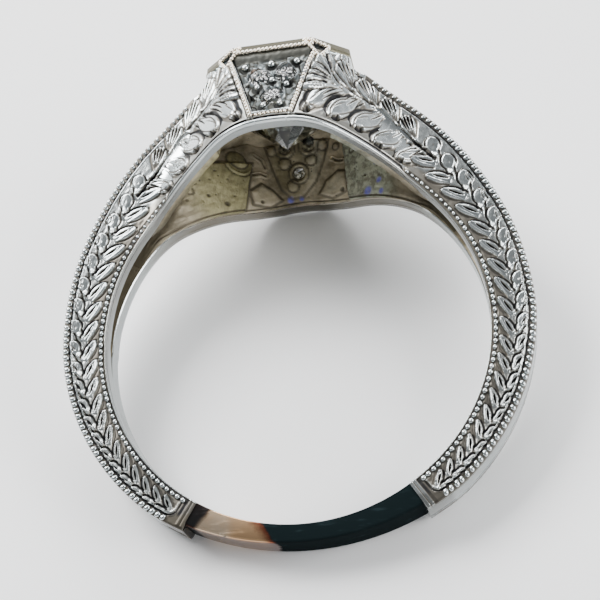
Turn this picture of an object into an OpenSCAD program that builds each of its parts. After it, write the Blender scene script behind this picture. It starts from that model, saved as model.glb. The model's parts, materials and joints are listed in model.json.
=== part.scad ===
// Engraved ring mounting with an octagonal head, a round centre stone and two stone-set side panels.
// It is drawn with its finger axis along Z and its head towards +Y, then tipped to lie on its side.

/* [Finger hole] */
// Inside diameter
finger_d = 17.3; // [15:0.1:20]

/* [Band] */
// Width of the engraved band
band_w = 2.0; // [1.8:0.05:2.4]
// Radius of the band's outer curve
band_r = 10.6; // [10.4:0.05:10.8]
// How far the outer curve's centre stands above the finger axis
band_rise = 0.7; // [0.5:0.05:0.9]
// How fast each side of the band widens towards the head, in mm per mm
band_flare = 0.065; // [0.03:0.005:0.09]
// Width of the plain stretch at the bottom
plain_w = 1.84; // [1.6:0.02:2]
// Half of the angle that the plain stretch takes
plain_angle = 31.7; // [25:0.1:40]
// Metal thickness at the very bottom
plain_t = 0.8; // [0.7:0.05:1]
// Radius of the plain stretch's outer curve
plain_r = 11.75; // [11:0.05:13]
// Rounding of the plain stretch's outer edges
plain_round = 0.25; // [0.1:0.05:0.3]

/* [Shoulders] */
// Radius of each shoulder's outer curve
shoulder_r = 13.98; // [13.9:0.02:14.1]
// Distance of that curve's centre from the middle
shoulder_x = 3.4; // [3.3:0.02:3.5]
// Half width that the shoulder's side face would reach on the finger axis
shoulder_reach = 8.9; // [8.7:0.05:9.1]
// How fast that face narrows away from the middle, in mm per mm
shoulder_taper = 0.915; // [0.85:0.005:1]
// How fast the side faces of head and shoulders lean in towards the top, in mm per mm
lean = 0.3; // [0.2:0.01:0.35]

/* [Head] */
// Width of the head from left to right
head_w = 6.9; // [6.6:0.1:7.2]
// Height of the head's rim over the finger axis
head_top = 13.4; // [13.2:0.05:13.6]
// Half width of the head's side face where it meets the finger hole
head_half = 4.59; // [4.3:0.01:4.8]
// Height of the shoulder's small fillet against the head
fillet_top = 12.5; // [12.3:0.05:12.7]
// Distance from the middle at which that fillet runs out
fillet_x = 5.6; // [5.3:0.1:5.8]
// Height of the raised border under the rim
border_h = 0.25; // [0.15:0.05:0.3]
// How far that border stands proud
border_proud = 0.1; // [0.05:0.05:0.15]
// Height of the plain lip above the border
lip_h = 0.2; // [0.15:0.05:0.3]

/* [Gallery] */
// Thickness of the two side walls, along the finger axis
wall = 0.75; // [0.65:0.05:0.9]
// Thickness of the outer wall of the shoulders
outer_wall = 0.9; // [0.8:0.05:1.1]
// Height at which the hollow narrows to nothing on each side
hollow_low = -1; // [-2:0.1:0]
// How fast the hollow in the band widens towards the head, in mm per mm
hollow_flare = 0.094; // [0.08:0.002:0.1]
// Height of the hollow's flat roof under the centre stone
roof = 11.7; // [11.5:0.05:11.9]

/* [Side panels] */
// Half width of the panel at its top
panel_top_half = 1.6; // [1.5:0.05:1.7]
// Half width of the panel at its bottom
panel_low_half = 0.9; // [0.8:0.05:1]
// Height of the panel's top edge
panel_top = 12.8; // [12.7:0.05:12.85]
// Height of the panel's bottom edge
panel_low = 9.25; // [9.1:0.05:9.3]
// Depth of the panel
panel_depth = 0.25; // [0.15:0.05:0.3]
// Diameter of the beads that hold the small stones
bead_d = 0.36; // [0.3:0.02:0.4]

/* [Stones] */
// Diameter of the centre stone
centre_d = 5.7; // [5.5:0.05:5.8]
// Height of the centre stone's point over the finger axis
culet_h = 9.7; // [9.6:0.05:9.8]
// Diameter of each small stone
small_d = 1.1; // [1:0.02:1.14]
// Clearance between a stone and its seat
seat_gap = 0.02; // [0.01:0.01:0.03]

/* [Engraving] */
// Height of the leaves over the side faces
leaf_h = 0.08; // [0.05:0.01:0.1]
// Angle about the finger axis from one pair of leaves to the next
leaf_step = 6; // [5:0.5:8]
// Angle that a leaf stands out from the stem
leaf_lean = 34; // [28:1:40]
// Width of a leaf as a part of its length
leaf_width = 0.4; // [0.3:0.02:0.5]
// Place of the stem between the finger hole, 0, and the band's outer curve, 1
stem_place = 0.57; // [0.5:0.01:0.62]

/* [Hidden] */
SIDES = ["near", "far"];
$fn = 96;

finger_r = finger_d / 2;
plain_bottom = finger_r + plain_t;

// The ring lies on the head's far edge and on the rounded far edge of the plain stretch
rest_length = finger_r + plain_bottom - plain_round;
rest_rise = head_half - plain_w / 2 + plain_round;
tip = atan(rest_rise / rest_length) - asin(plain_round / norm([rest_length, rest_rise]));

// Longer than the ring, and a cut's reach past a surface
big = 40;
cut = 0.5;

// Height at which the shoulders' curves stop beside the head
shoulder_cap = 11.9;
// The fillet beside the head, on the right, from the head outwards
FILLET = [[head_w / 2, fillet_top], [4.1, 12.2], [fillet_x, 10.7]];

// Leaf outline as parts of its length and half width: places of its foot, its heel and its belly
LEAF_FOOT = 0.08;
LEAF_HEEL = [0.35, 0.9];
LEAF_BELLY = [0.7, 1];
// Angle of the pair of leaves next to the head, and how far the leaves reach past the metal they grow over
first_leaf = 20;
outer_leaf_reach = 1.3;
inner_leaf_reach = 1.2;

// A small stone's ledge and the hole behind it
seat_ledge = 0.14;
seat_hole_r = 0.4;
seat_hole_depth = 2;
// How far a panel bead's middle stands over the panel's floor
bead_lift = 0.03;
// The beads at the corners of the centre stone's seat
corner_bead_d = 0.6;
corner_bead_lift = 0.38;
corner_bead_out = 0.12;

gold = "lightgray";
stone_colour = "lightcyan";

// Middles of the small stones on a panel: x and height over the finger axis
PANEL_STONES = [[-0.6, 11.65], [0.6, 11.65], [0, 10.35]];
// Middles of the beads on a panel
BEADS = [
    [-1.15, 12.3], [0, 12.3], [1.15, 12.3],
    [0, 11.2],
    [-0.62, 10.75], [0.62, 10.75],
    [-0.45, 9.7], [0.45, 9.7]
];

// Proportions of a round brilliant, as parts of its diameter
TABLE = 0.56;
CROWN = 0.15;
GIRDLE = 0.03;
PAVILION = 0.431;
girdle_h = culet_h + centre_d * PAVILION;

lean_angle = atan(lean);

// Front views, with x to the right and y towards the head

module upper_outline() {
    intersection() {
        translate([-shoulder_x, 0]) circle(r = shoulder_r, $fn = 200);
        translate([shoulder_x, 0]) circle(r = shoulder_r, $fn = 200);
        translate([-big / 2, 0]) square([big, shoulder_cap]);
    }
    polygon(concat([for (i = [2:-1:0]) [-FILLET[i][0], FILLET[i][1]]], FILLET));
    translate([-head_w / 2, finger_r + cut]) square([head_w, head_top - finger_r - cut]);
}

module lower_outline() {
    intersection() {
        translate([0, band_rise]) circle(r = band_r, $fn = 200);
        translate([-big / 2, -big]) square([big, big]);
    }
}

// A wedge below the finger axis, as wide as the plain stretch
module plain_sector() {
    x = big * tan(plain_angle);
    polygon([[0, 0], [x, -big], [-x, -big]]);
}

// The solids between the side faces of head and shoulders, moved out by grow

module shoulder_space(grow) {
    n = sqrt(shoulder_taper * shoulder_taper + lean * lean + 1);
    tilt = acos(1 / n);
    turn = atan2(lean, shoulder_taper);
    intersection_for(a = [0, 1], b = [0, 1])
        mirror([a, 0, 0]) mirror([0, 0, b]) rotate([0, tilt, turn])
            translate([-big, -big, (shoulder_reach + grow) / n - 2 * big]) cube(2 * big);
}

module head_space(grow) {
    low = -5;
    high = 20;
    wide = head_half + grow + lean * (finger_r - low);
    narrow = head_half + grow + lean * (finger_r - high);
    along_x(big) polygon([[low, -wide], [high, -narrow], [high, narrow], [low, wide]]);
}

// A shape given in the plane of height and finger axis, drawn out from left to right
module along_x(length) {
    translate([-length / 2, 0, 0]) rotate([90, 0, 90]) linear_extrude(length) children();
}

module side_space(grow) {
    intersection() {
        shoulder_space(grow);
        head_space(grow);
    }
}

// The band's own side faces, straight below the finger axis and widening above it
module band_space(grow) {
    half = band_w / 2 + grow;
    top = half + band_flare * 20;
    along_x(big) polygon([[-20, -half], [0, -half], [20, -top], [20, top], [0, half], [-20, half]]);
}

module shank() {
    intersection() {
        band_space(0);
        linear_extrude(big, center = true) difference() {
            union() {
                upper_outline();
                lower_outline();
            }
            plain_sector();
        }
    }
}

module plain_stretch() {
    r = plain_r;
    centre = plain_r - plain_bottom;
    intersection() {
        linear_extrude(big, center = true) plain_sector();
        translate([0, centre, 0]) union() {
            cylinder(r = r - plain_round, h = plain_w, center = true, $fn = 200);
            cylinder(r = r, h = plain_w - 2 * plain_round, center = true, $fn = 200);
            for (s = [-1, 1]) translate([0, 0, s * (plain_w / 2 - plain_round)])
                rotate_extrude($fn = 200) translate([r - plain_round, 0]) circle(r = plain_round, $fn = 32);
        }
    }
}

module head_and_shoulders() {
    intersection() {
        side_space(0);
        translate([0, 0, -big / 2]) linear_extrude(big) upper_outline();
    }
    intersection() {
        side_space(border_proud);
        translate([0, head_top - lip_h - border_h / 2, 0])
            cube([head_w + 2 * border_proud, border_h, big], center = true);
    }
}

// Radius of the outer curve at an angle from the head
function outer_r(a) = a < 90
    ? sqrt(pow(shoulder_r, 2) - pow(shoulder_x * cos(a), 2)) - shoulder_x * sin(a)
    : band_rise * cos(a) + sqrt(pow(band_r, 2) - pow(band_rise * sin(a), 2));

// A pointed leaf that grows to the left, with its foot just past the origin, so that a pair grows together
module leaf(length) {
    half = leaf_width * length / 2;
    heel = [-LEAF_HEEL[0] * length, LEAF_HEEL[1] * half];
    belly = [-LEAF_BELLY[0] * length, LEAF_BELLY[1] * half];
    foot = [LEAF_FOOT * length, 0];
    polygon([foot, [heel[0], -heel[1]], [belly[0], -belly[1]], [-length, 0], belly, heel]);
}

// Pairs of leaves from the plain stretch up to the head, on the right
module leaf_spray() {
    for (a = [first_leaf:leaf_step:180 - plain_angle - leaf_step]) {
        breadth = outer_r(a) - finger_r;
        rotate(-a) translate([0, finger_r + stem_place * breadth]) {
            rotate(-leaf_lean) leaf((1 - stem_place) * breadth * outer_leaf_reach);
            rotate(leaf_lean) leaf(stem_place * breadth * inner_leaf_reach);
        }
    }
}

module leaves() {
    intersection() {
        linear_extrude(big, center = true) for (m = [0, 1]) mirror([m, 0]) leaf_spray();
        union() {
            band_space(leaf_h);
            intersection() {
                side_space(leaf_h);
                translate([-big / 2, 0, -big / 2]) cube(big);
            }
        }
        linear_extrude(big, center = true) {
            upper_outline();
            lower_outline();
        }
    }
}

// What is taken out of the metal

module gallery() {
    r = shoulder_r - outer_wall;
    high = 20;
    half = hollow_flare * (high - hollow_low);
    intersection() {
        union() {
            side_space(-wall);
            along_x(big) polygon([[hollow_low, 0], [high, -half], [high, half]]);
        }
        linear_extrude(big, center = true) intersection() {
            translate([-shoulder_x, 0]) circle(r = r, $fn = 200);
            translate([shoulder_x, 0]) circle(r = r, $fn = 200);
            translate([-big / 2, hollow_low]) square([big, roof - hollow_low]);
        }
    }
}

// The octagonal well round the crown, the round seat and the opening below the stone
module centre_seat() {
    girdle_r = centre_d / 2 + seat_gap;
    depth = girdle_h - seat_gap - roof + cut;
    low_r = girdle_r * (1 - (girdle_h - roof + cut) / (centre_d * PAVILION));
    rotate([-90, 0, 0]) {
        translate([0, 0, girdle_h - seat_gap]) cylinder(r = girdle_r, h = big);
        translate([0, 0, roof - cut]) cylinder(r1 = low_r, r2 = girdle_r, h = depth);
    }
}

module panel_recess() {
    difference() {
        linear_extrude(big) polygon([[-panel_low_half, panel_low], [panel_low_half, panel_low],
                                     [panel_top_half, panel_top], [-panel_top_half, panel_top]]);
        head_space(-panel_depth);
    }
}

// Puts a child on the floor of the near panel, at x and height y, with its Z pointing out
module on_panel(x, y) {
    floor_z = head_half - panel_depth - lean * (y - finger_r);
    translate([x, y, floor_z]) rotate([-lean_angle, 0, 0]) children();
}

module panel_seats() {
    girdle_r = small_d / 2 + seat_gap;
    for (p = PANEL_STONES) on_panel(p[0], p[1]) {
        translate([0, 0, -seat_ledge]) cylinder(r = girdle_r, h = seat_ledge + cut);
        translate([0, 0, -seat_hole_depth]) cylinder(r = seat_hole_r, h = seat_hole_depth);
    }
}

module panel_beads() {
    for (p = BEADS) on_panel(p[0], p[1]) translate([0, 0, bead_lift]) sphere(d = bead_d, $fn = 24);
}

// Four beads at the well's corners, over the edge of the centre stone
module corner_beads() {
    for (a = [45:90:315]) rotate([0, a, 0])
        translate([0, girdle_h + corner_bead_lift, centre_d / 2 + corner_bead_out])
            sphere(d = corner_bead_d, $fn = 32);
}

module ring_body() {
    color(gold) rotate([tip, 0, 0]) difference() {
        union() {
            difference() {
                union() {
                    shank();
                    plain_stretch();
                    head_and_shoulders();
                    leaves();
                }
                gallery();
                centre_seat();
                for (m = [0, 1]) mirror([0, 0, m]) {
                    panel_recess();
                    panel_seats();
                }
            }
            for (m = [0, 1]) mirror([0, 0, m]) panel_beads();
            corner_beads();
        }
        cylinder(d = finger_d, h = big, center = true, $fn = 200);
    }
}

// A round brilliant of diameter d with its point down at the origin: table, 8 star facets, 8 kites,
// 16 upper facets, girdle, 16 lower facets and 8 long facets to the point
module brilliant(d) {
    r = d / 2;
    girdle_low = PAVILION * d;
    girdle_top = girdle_low + GIRDLE * d;
    star_r = r * (1 + TABLE * cos(22.5)) / 2;
    star_z = girdle_top + CROWN * d * (r - star_r * cos(22.5)) / (r - TABLE * r);
    inner_r = r * 0.24;
    inner_z = girdle_low * inner_r * cos(22.5) / r;

    table = [for (i = [0:7]) ring_point(TABLE * r, 45 * i, girdle_top + CROWN * d)];
    star = [for (i = [0:7]) ring_point(star_r, 45 * i + 22.5, star_z)];
    upper = [for (i = [0:15]) ring_point(r, 22.5 * i, girdle_top)];
    lower = [for (i = [0:15]) ring_point(r, 22.5 * i, girdle_low)];
    inner = [for (i = [0:7]) ring_point(inner_r, 45 * i + 22.5, inner_z)];

    polyhedron(
        points = concat(table, star, upper, lower, inner, [[0, 0, 0]]),
        faces = concat(
            [[for (i = [7:-1:0]) i]],
            [for (i = [0:7]) [i, (i + 1) % 8, 8 + i]],
            [for (i = [0:7]) [i, 8 + i, 16 + 2 * i, 8 + (i + 7) % 8]],
            [for (i = [0:7]) [8 + i, 16 + 2 * i + 1, 16 + 2 * i]],
            [for (i = [0:7]) [8 + i, 16 + (2 * i + 2) % 16, 16 + 2 * i + 1]],
            [for (i = [0:15]) [16 + i, 16 + (i + 1) % 16, 32 + (i + 1) % 16, 32 + i]],
            [for (i = [0:7]) [32 + 2 * i, 32 + 2 * i + 1, 48 + i]],
            [for (i = [0:7]) [32 + 2 * i + 1, 32 + (2 * i + 2) % 16, 48 + i]],
            [for (i = [0:7]) [32 + 2 * i, 48 + i, 56, 48 + (i + 7) % 8]]
        )
    );
}

function ring_point(r, a, z) = [r * cos(a), r * sin(a), z];

module centre_stone() {
    color(stone_colour) rotate([tip, 0, 0])
        translate([0, culet_h, 0]) rotate([-90, 0, 0]) brilliant(centre_d);
}

module panel_stone(side, i) {
    color(stone_colour) rotate([tip, 0, 0]) mirror([0, 0, side == "near" ? 0 : 1])
        on_panel(PANEL_STONES[i - 1][0], PANEL_STONES[i - 1][1])
            translate([0, 0, -small_d * (PAVILION + GIRDLE)]) brilliant(small_d);
}

ring_body();
centre_stone();
for (s = SIDES, i = [1:3])
    panel_stone(s, i);
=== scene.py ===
"""Looks of an engraved ring mounting with stone-set side panels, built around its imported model.

The ring is drawn in its own coordinates, in millimetres: x to the right, h from the finger axis towards
the head, and a along the finger axis towards the viewer. to_world() tips it on its side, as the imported
model lies.
"""
import json
import math

import bpy
import numpy as np
from bpy.props import FloatProperty, FloatVectorProperty, IntProperty, PointerProperty
from mathutils import Matrix, Vector


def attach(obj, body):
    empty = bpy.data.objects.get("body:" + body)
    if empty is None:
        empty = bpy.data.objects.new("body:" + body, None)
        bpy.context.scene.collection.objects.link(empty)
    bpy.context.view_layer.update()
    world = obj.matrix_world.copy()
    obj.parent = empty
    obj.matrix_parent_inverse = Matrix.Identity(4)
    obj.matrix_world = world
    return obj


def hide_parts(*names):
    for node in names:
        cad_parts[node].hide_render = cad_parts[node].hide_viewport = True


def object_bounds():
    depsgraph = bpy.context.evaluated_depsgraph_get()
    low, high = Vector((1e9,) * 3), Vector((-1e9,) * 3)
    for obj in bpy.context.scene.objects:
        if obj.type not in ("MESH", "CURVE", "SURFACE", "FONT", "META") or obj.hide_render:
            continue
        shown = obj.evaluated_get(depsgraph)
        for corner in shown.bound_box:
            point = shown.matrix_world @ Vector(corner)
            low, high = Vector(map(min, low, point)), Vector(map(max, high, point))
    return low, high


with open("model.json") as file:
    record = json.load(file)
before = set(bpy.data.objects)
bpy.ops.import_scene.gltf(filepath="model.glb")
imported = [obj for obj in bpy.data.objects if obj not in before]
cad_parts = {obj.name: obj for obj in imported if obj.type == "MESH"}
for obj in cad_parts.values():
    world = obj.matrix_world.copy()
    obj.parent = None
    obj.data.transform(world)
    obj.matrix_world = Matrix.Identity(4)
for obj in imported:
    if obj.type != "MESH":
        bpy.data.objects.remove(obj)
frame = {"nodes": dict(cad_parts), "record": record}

bl_info = {
    "name": "Engraved Ring Mounting",
    "version": (1, 0, 0),
    "blender": (4, 5, 0),
    "location": "View3D > Sidebar > Ring",
    "description": "Builds the engraving, milgrain, stones and finish of a ring around its solid model",
    "category": "Add Mesh",
}

MM = 0.001
CAD_BOX = [list(corner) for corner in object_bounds()]
FINGER_MOUNT = frame["record"]["mounts"][0]
TIP = math.atan2(-FINGER_MOUNT["axis"][1], FINGER_MOUNT["axis"][2])

# Form of the metal, in millimetres and degrees, as in the solid model
HOLE_R = FINGER_MOUNT["dims"]["r_mm"]
BAND_HALF, BAND_FLARE = 1.0, 0.065
BAND_R, BAND_RISE = 10.6, 0.7
SHOULDER_R, SHOULDER_X, SHOULDER_TOP = 13.98, 3.4, 11.9
SHOULDER_REACH, SHOULDER_TAPER = 8.9, 0.915
HEAD_HALF, LEAN = 4.59, 0.3
HEAD_HALF_W, HEAD_LOW, HEAD_TOP = 3.45, 11.75, 13.74
FILLET = ((3.45, 12.5), (4.1, 12.2), (5.6, 10.7))
BORDER_LOW, BORDER_HIGH, BORDER_HALF = 13.14, 13.33, 1.9
WALL, OUTER_WALL, ROOF = 0.75, 0.9, 11.7
HOLLOW_LOW, HOLLOW_FLARE = -1.0, 0.094
PLAIN_ANGLE, PLAIN_R, PLAIN_HALF, PLAIN_T = 31.7, 11.75, 0.92, 0.8
BAND_END = 180 - PLAIN_ANGLE
GIRDLE_H, SEAT_R, CULET_H = 12.157, 2.87, 9.7
PANEL_LOW, PANEL_TOP, PANEL_LOW_HALF, PANEL_TOP_HALF, PANEL_DEPTH = 9.25, 13.1, 0.84, 1.96, 0.28
PANEL_STONES = ((-0.6, 11.65), (0.6, 11.65), (0.0, 10.35))
PANEL_BEADS = ((-1.28, 12.32), (-0.05, 12.35), (1.15, 12.32), (0, 11.3), (-0.68, 10.92), (0.68, 10.92),
               (-0.38, 9.75), (0.38, 9.75))
CORNER_RECESS = ((1.55, 13.5), (2.5, 13.28), (2.16, 12.6))
FIELD_TOP = 13.12            # where the engraved side faces end under the head's border
FIELD_PROUD = 0.09           # how far they stand past the solid's outline along the band
LEAST_HALF = 0.004           # half width at which the gallery closes to nothing
FACINGS = (("near", 1), ("far", -1))
QUARTERS = (("near_right", 1, 1), ("near_left", -1, 1), ("far_right", 1, -1), ("far_left", -1, -1))
EVERYWHERE = slice(None)


def to_world(points):
    """Ring coordinates in millimetres as places in the frame, in metres."""
    x, h, a = np.asarray(points, float).reshape(-1, 3).T
    c, s = math.cos(TIP), math.sin(TIP)
    return np.stack([x, h * c - a * s, h * s + a * c], 1) * MM


def smooth_step(t):
    t = np.clip(t, 0, 1)
    return t * t * (3 - 2 * t)


def smooth_max(p, q, width):
    """The larger of two numbers, rounded where they are closer than width."""
    share = np.clip(0.5 + 0.5 * (p - q) / width, 0, 1)
    return q + (p - q) * share + width * share * (1 - share)


def mix(p, q, share):
    return p + (q - p) * share


def tent(offset, half_width):
    """One in the middle of a line, falling evenly to nothing at its half width."""
    return np.clip(1 - np.abs(offset) / half_width, 0, 1)


def arc(t):
    """Height of a half circle of radius one."""
    return np.sqrt(np.clip(1 - t * t, 0, 1))


def unit(v):
    v = np.asarray(v, float)
    return v / np.linalg.norm(v)


def spaced(low, high, step):
    return np.linspace(low, high, max(int(round((high - low) / step)) + 1, 2))


def run_along(path):
    """How far along a path each of its points lies."""
    return np.concatenate([[0], np.cumsum(np.linalg.norm(np.diff(path, axis=0), axis=1))])


# Form of the ring

def shoulder_face(x, h):
    """Half width at the shoulder's side plane. It fades out below the finger axis."""
    return SHOULDER_REACH - SHOULDER_TAPER * np.abs(x) - LEAN * h - 3 * np.maximum(0.5 - h, 0) ** 2


def head_face(h):
    return HEAD_HALF - LEAN * (h - HOLE_R)


def band_face(h):
    return BAND_HALF + BAND_FLARE * np.maximum(h, 0)


def upper_face(x, h):
    """Half width above the band: the shoulder meets the head in a crease, softer towards the finger hole."""
    crease = mix(1.0, 0.12, smooth_step((h - 9.6) / 2.8))
    return -smooth_max(-shoulder_face(x, h), -head_face(h), crease) + 0.07 * smooth_step((12.6 - h) / 2)


def side(x, h):
    """Half width of the ring: the band flows into the shoulder."""
    return smooth_max(band_face(h), upper_face(x, h), 0.5)


def face_normal(face, x, h):
    step = 1e-3
    slope_x = (face(x + step, h) - face(x - step, h)) / (2 * step)
    slope_h = (face(x, h + step) - face(x, h - step)) / (2 * step)
    n = np.stack([-slope_x, -slope_h, np.ones_like(slope_x)], -1)
    return n / np.linalg.norm(n, axis=-1, keepdims=True)


def panel_floor(x, h):
    """Half width at the floor of the side panels."""
    return head_face(h) - PANEL_DEPTH + 0 * x


def hollow(x, h):
    """Half width of the gallery behind the side walls."""
    return smooth_max(HOLLOW_FLARE * (h - HOLLOW_LOW), upper_face(x, h) - WALL, 0.2)


def outline_room(x, h, top):
    """How far a point lies inside the ring's front outline, with the head cut off at height top."""
    x = np.abs(x)
    curve = np.minimum(SHOULDER_R - np.hypot(x + SHOULDER_X, h), SHOULDER_TOP - h)
    slope = [(q[1] - p[1]) / (q[0] - p[0]) for p, q in zip(FILLET, FILLET[1:])]
    fillet = np.minimum(*[p[1] + k * (x - p[0]) - h for p, k in zip(FILLET, slope)])
    fillet = np.where((x >= HEAD_HALF_W) & (x < FILLET[-1][0]), fillet, -9)
    head = np.minimum(HEAD_HALF_W - x, top - h)
    upper = np.maximum(smooth_max(curve, fillet, 0.08), head)
    lower = BAND_R - np.hypot(x, h - BAND_RISE)
    return np.where(h >= 0, upper, lower)


def roof_room(x, h):
    return np.minimum(SHOULDER_R - OUTER_WALL - np.hypot(np.abs(x) + SHOULDER_X, h), ROOF - h)


PANEL_EDGE = math.degrees(math.asin(PANEL_LOW_HALF / HOLE_R)) - 1.0
PANEL_SLANT = math.degrees(math.atan((PANEL_TOP_HALF - PANEL_LOW_HALF) / (PANEL_TOP - PANEL_LOW)))
RADIAL_FROM = 60.0


class Stations:
    """Lines across the ring's side face, each from the finger hole out to the outline.

    They lie along the panel's slanted edge beside it and turn to run straight out from the finger axis on
    the band.
    """

    def __init__(self, angles, top):
        self.angles = np.asarray(angles, float)
        size, sign = np.abs(self.angles), np.sign(self.angles)
        turn = smooth_step((size - PANEL_EDGE) / (RADIAL_FROM - PANEL_EDGE))
        lean = np.where(size < PANEL_EDGE, PANEL_SLANT * size / PANEL_EDGE, mix(PANEL_SLANT, size, turn))
        a, d = np.radians(self.angles), np.radians(sign * lean)
        self.foot = np.stack([HOLE_R * np.sin(a), HOLE_R * np.cos(a)], 1)
        self.out = np.stack([np.sin(d), np.cos(d)], 1)
        self.length = self.reach(lambda x, h: outline_room(x, h, top))
        self.length += FIELD_PROUD * smooth_step((size - 50) / 20) * (1 - smooth_step((size - 136) / 12))

    def reach(self, room):
        """Distance from the hole at which room runs out, found by halving."""
        low, high = np.zeros(len(self.foot)), np.full(len(self.foot), 6.0)
        for _ in range(40):
            half = (low + high) / 2
            p = self.foot + self.out * half[:, None]
            inside = room(p[:, 0], p[:, 1]) > 0
            low, high = np.where(inside, half, low), np.where(inside, high, half)
        return low

    def at(self, distance):
        """x and h at a distance from the hole: one for each station, or a row of them."""
        distance = np.asarray(distance, float)
        if distance.ndim == 1:
            p = self.foot + self.out * distance[:, None]
        else:
            p = self.foot[:, None] + self.out[:, None] * distance[..., None]
        return p[..., 0], p[..., 1]


# Making meshes

def grid_faces(rows, cols, closed_rows=False, closed_cols=False):
    i = np.arange(rows if closed_rows else rows - 1)[:, None]
    j = np.arange(cols if closed_cols else cols - 1)[None, :]
    i2, j2 = (i + 1) % rows, (j + 1) % cols
    return np.stack([i * cols + j, i * cols + j2, i2 * cols + j2, i2 * cols + j], -1).reshape(-1, 4).tolist()


def caps(rows, cols):
    """The flat faces at the two ends of a row of closed loops."""
    return [list(range(cols))[::-1], [(rows - 1) * cols + i for i in range(cols)]]


def tube_faces(rows, cols):
    return grid_faces(rows, cols, closed_cols=True) + caps(rows, cols)


def block_faces(cols):
    """Faces of a solid between two flat outlines."""
    return caps(2, cols) + grid_faces(2, cols, closed_cols=True)


def signed_volume(points, faces):
    total = 0.0
    by_size = {}
    for f in faces:
        by_size.setdefault(len(f), []).append(f)
    for size, group in by_size.items():
        group = np.array(group)
        for k in range(1, size - 1):
            p, q, r = (points[group[:, i]] for i in (0, k, k + 1))
            total += np.einsum("ij,ij->i", p, np.cross(q, r)).sum()
    return total


def turned_out(points, faces):
    return faces if signed_volume(points, faces) > 0 else [f[::-1] for f in faces]


def new_piece(name, points, faces, materials, marks=None, material_of=None, sharp=None):
    """A mesh in ring coordinates as an object that rides on the ring, with its faces turned outwards."""
    points = to_world(points)
    mesh = bpy.data.meshes.new(name)
    mesh.from_pydata(points.tolist(), [], turned_out(points / MM, faces))
    for m in materials:
        mesh.materials.append(m)
    if material_of is not None:
        mesh.polygons.foreach_set("material_index", np.asarray(material_of, np.int32))
    for key, values in (marks or {}).items():
        mesh.attributes.new(key, "FLOAT", "POINT").data.foreach_set("value", np.asarray(values, np.float32))
    mesh.shade_smooth()
    if sharp:
        mesh.set_sharp_from_angle(angle=math.radians(sharp))
    piece = bpy.data.objects.new(name, mesh)
    bpy.context.scene.collection.objects.link(piece)
    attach(piece, "root")
    return piece


# Engraving

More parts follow.
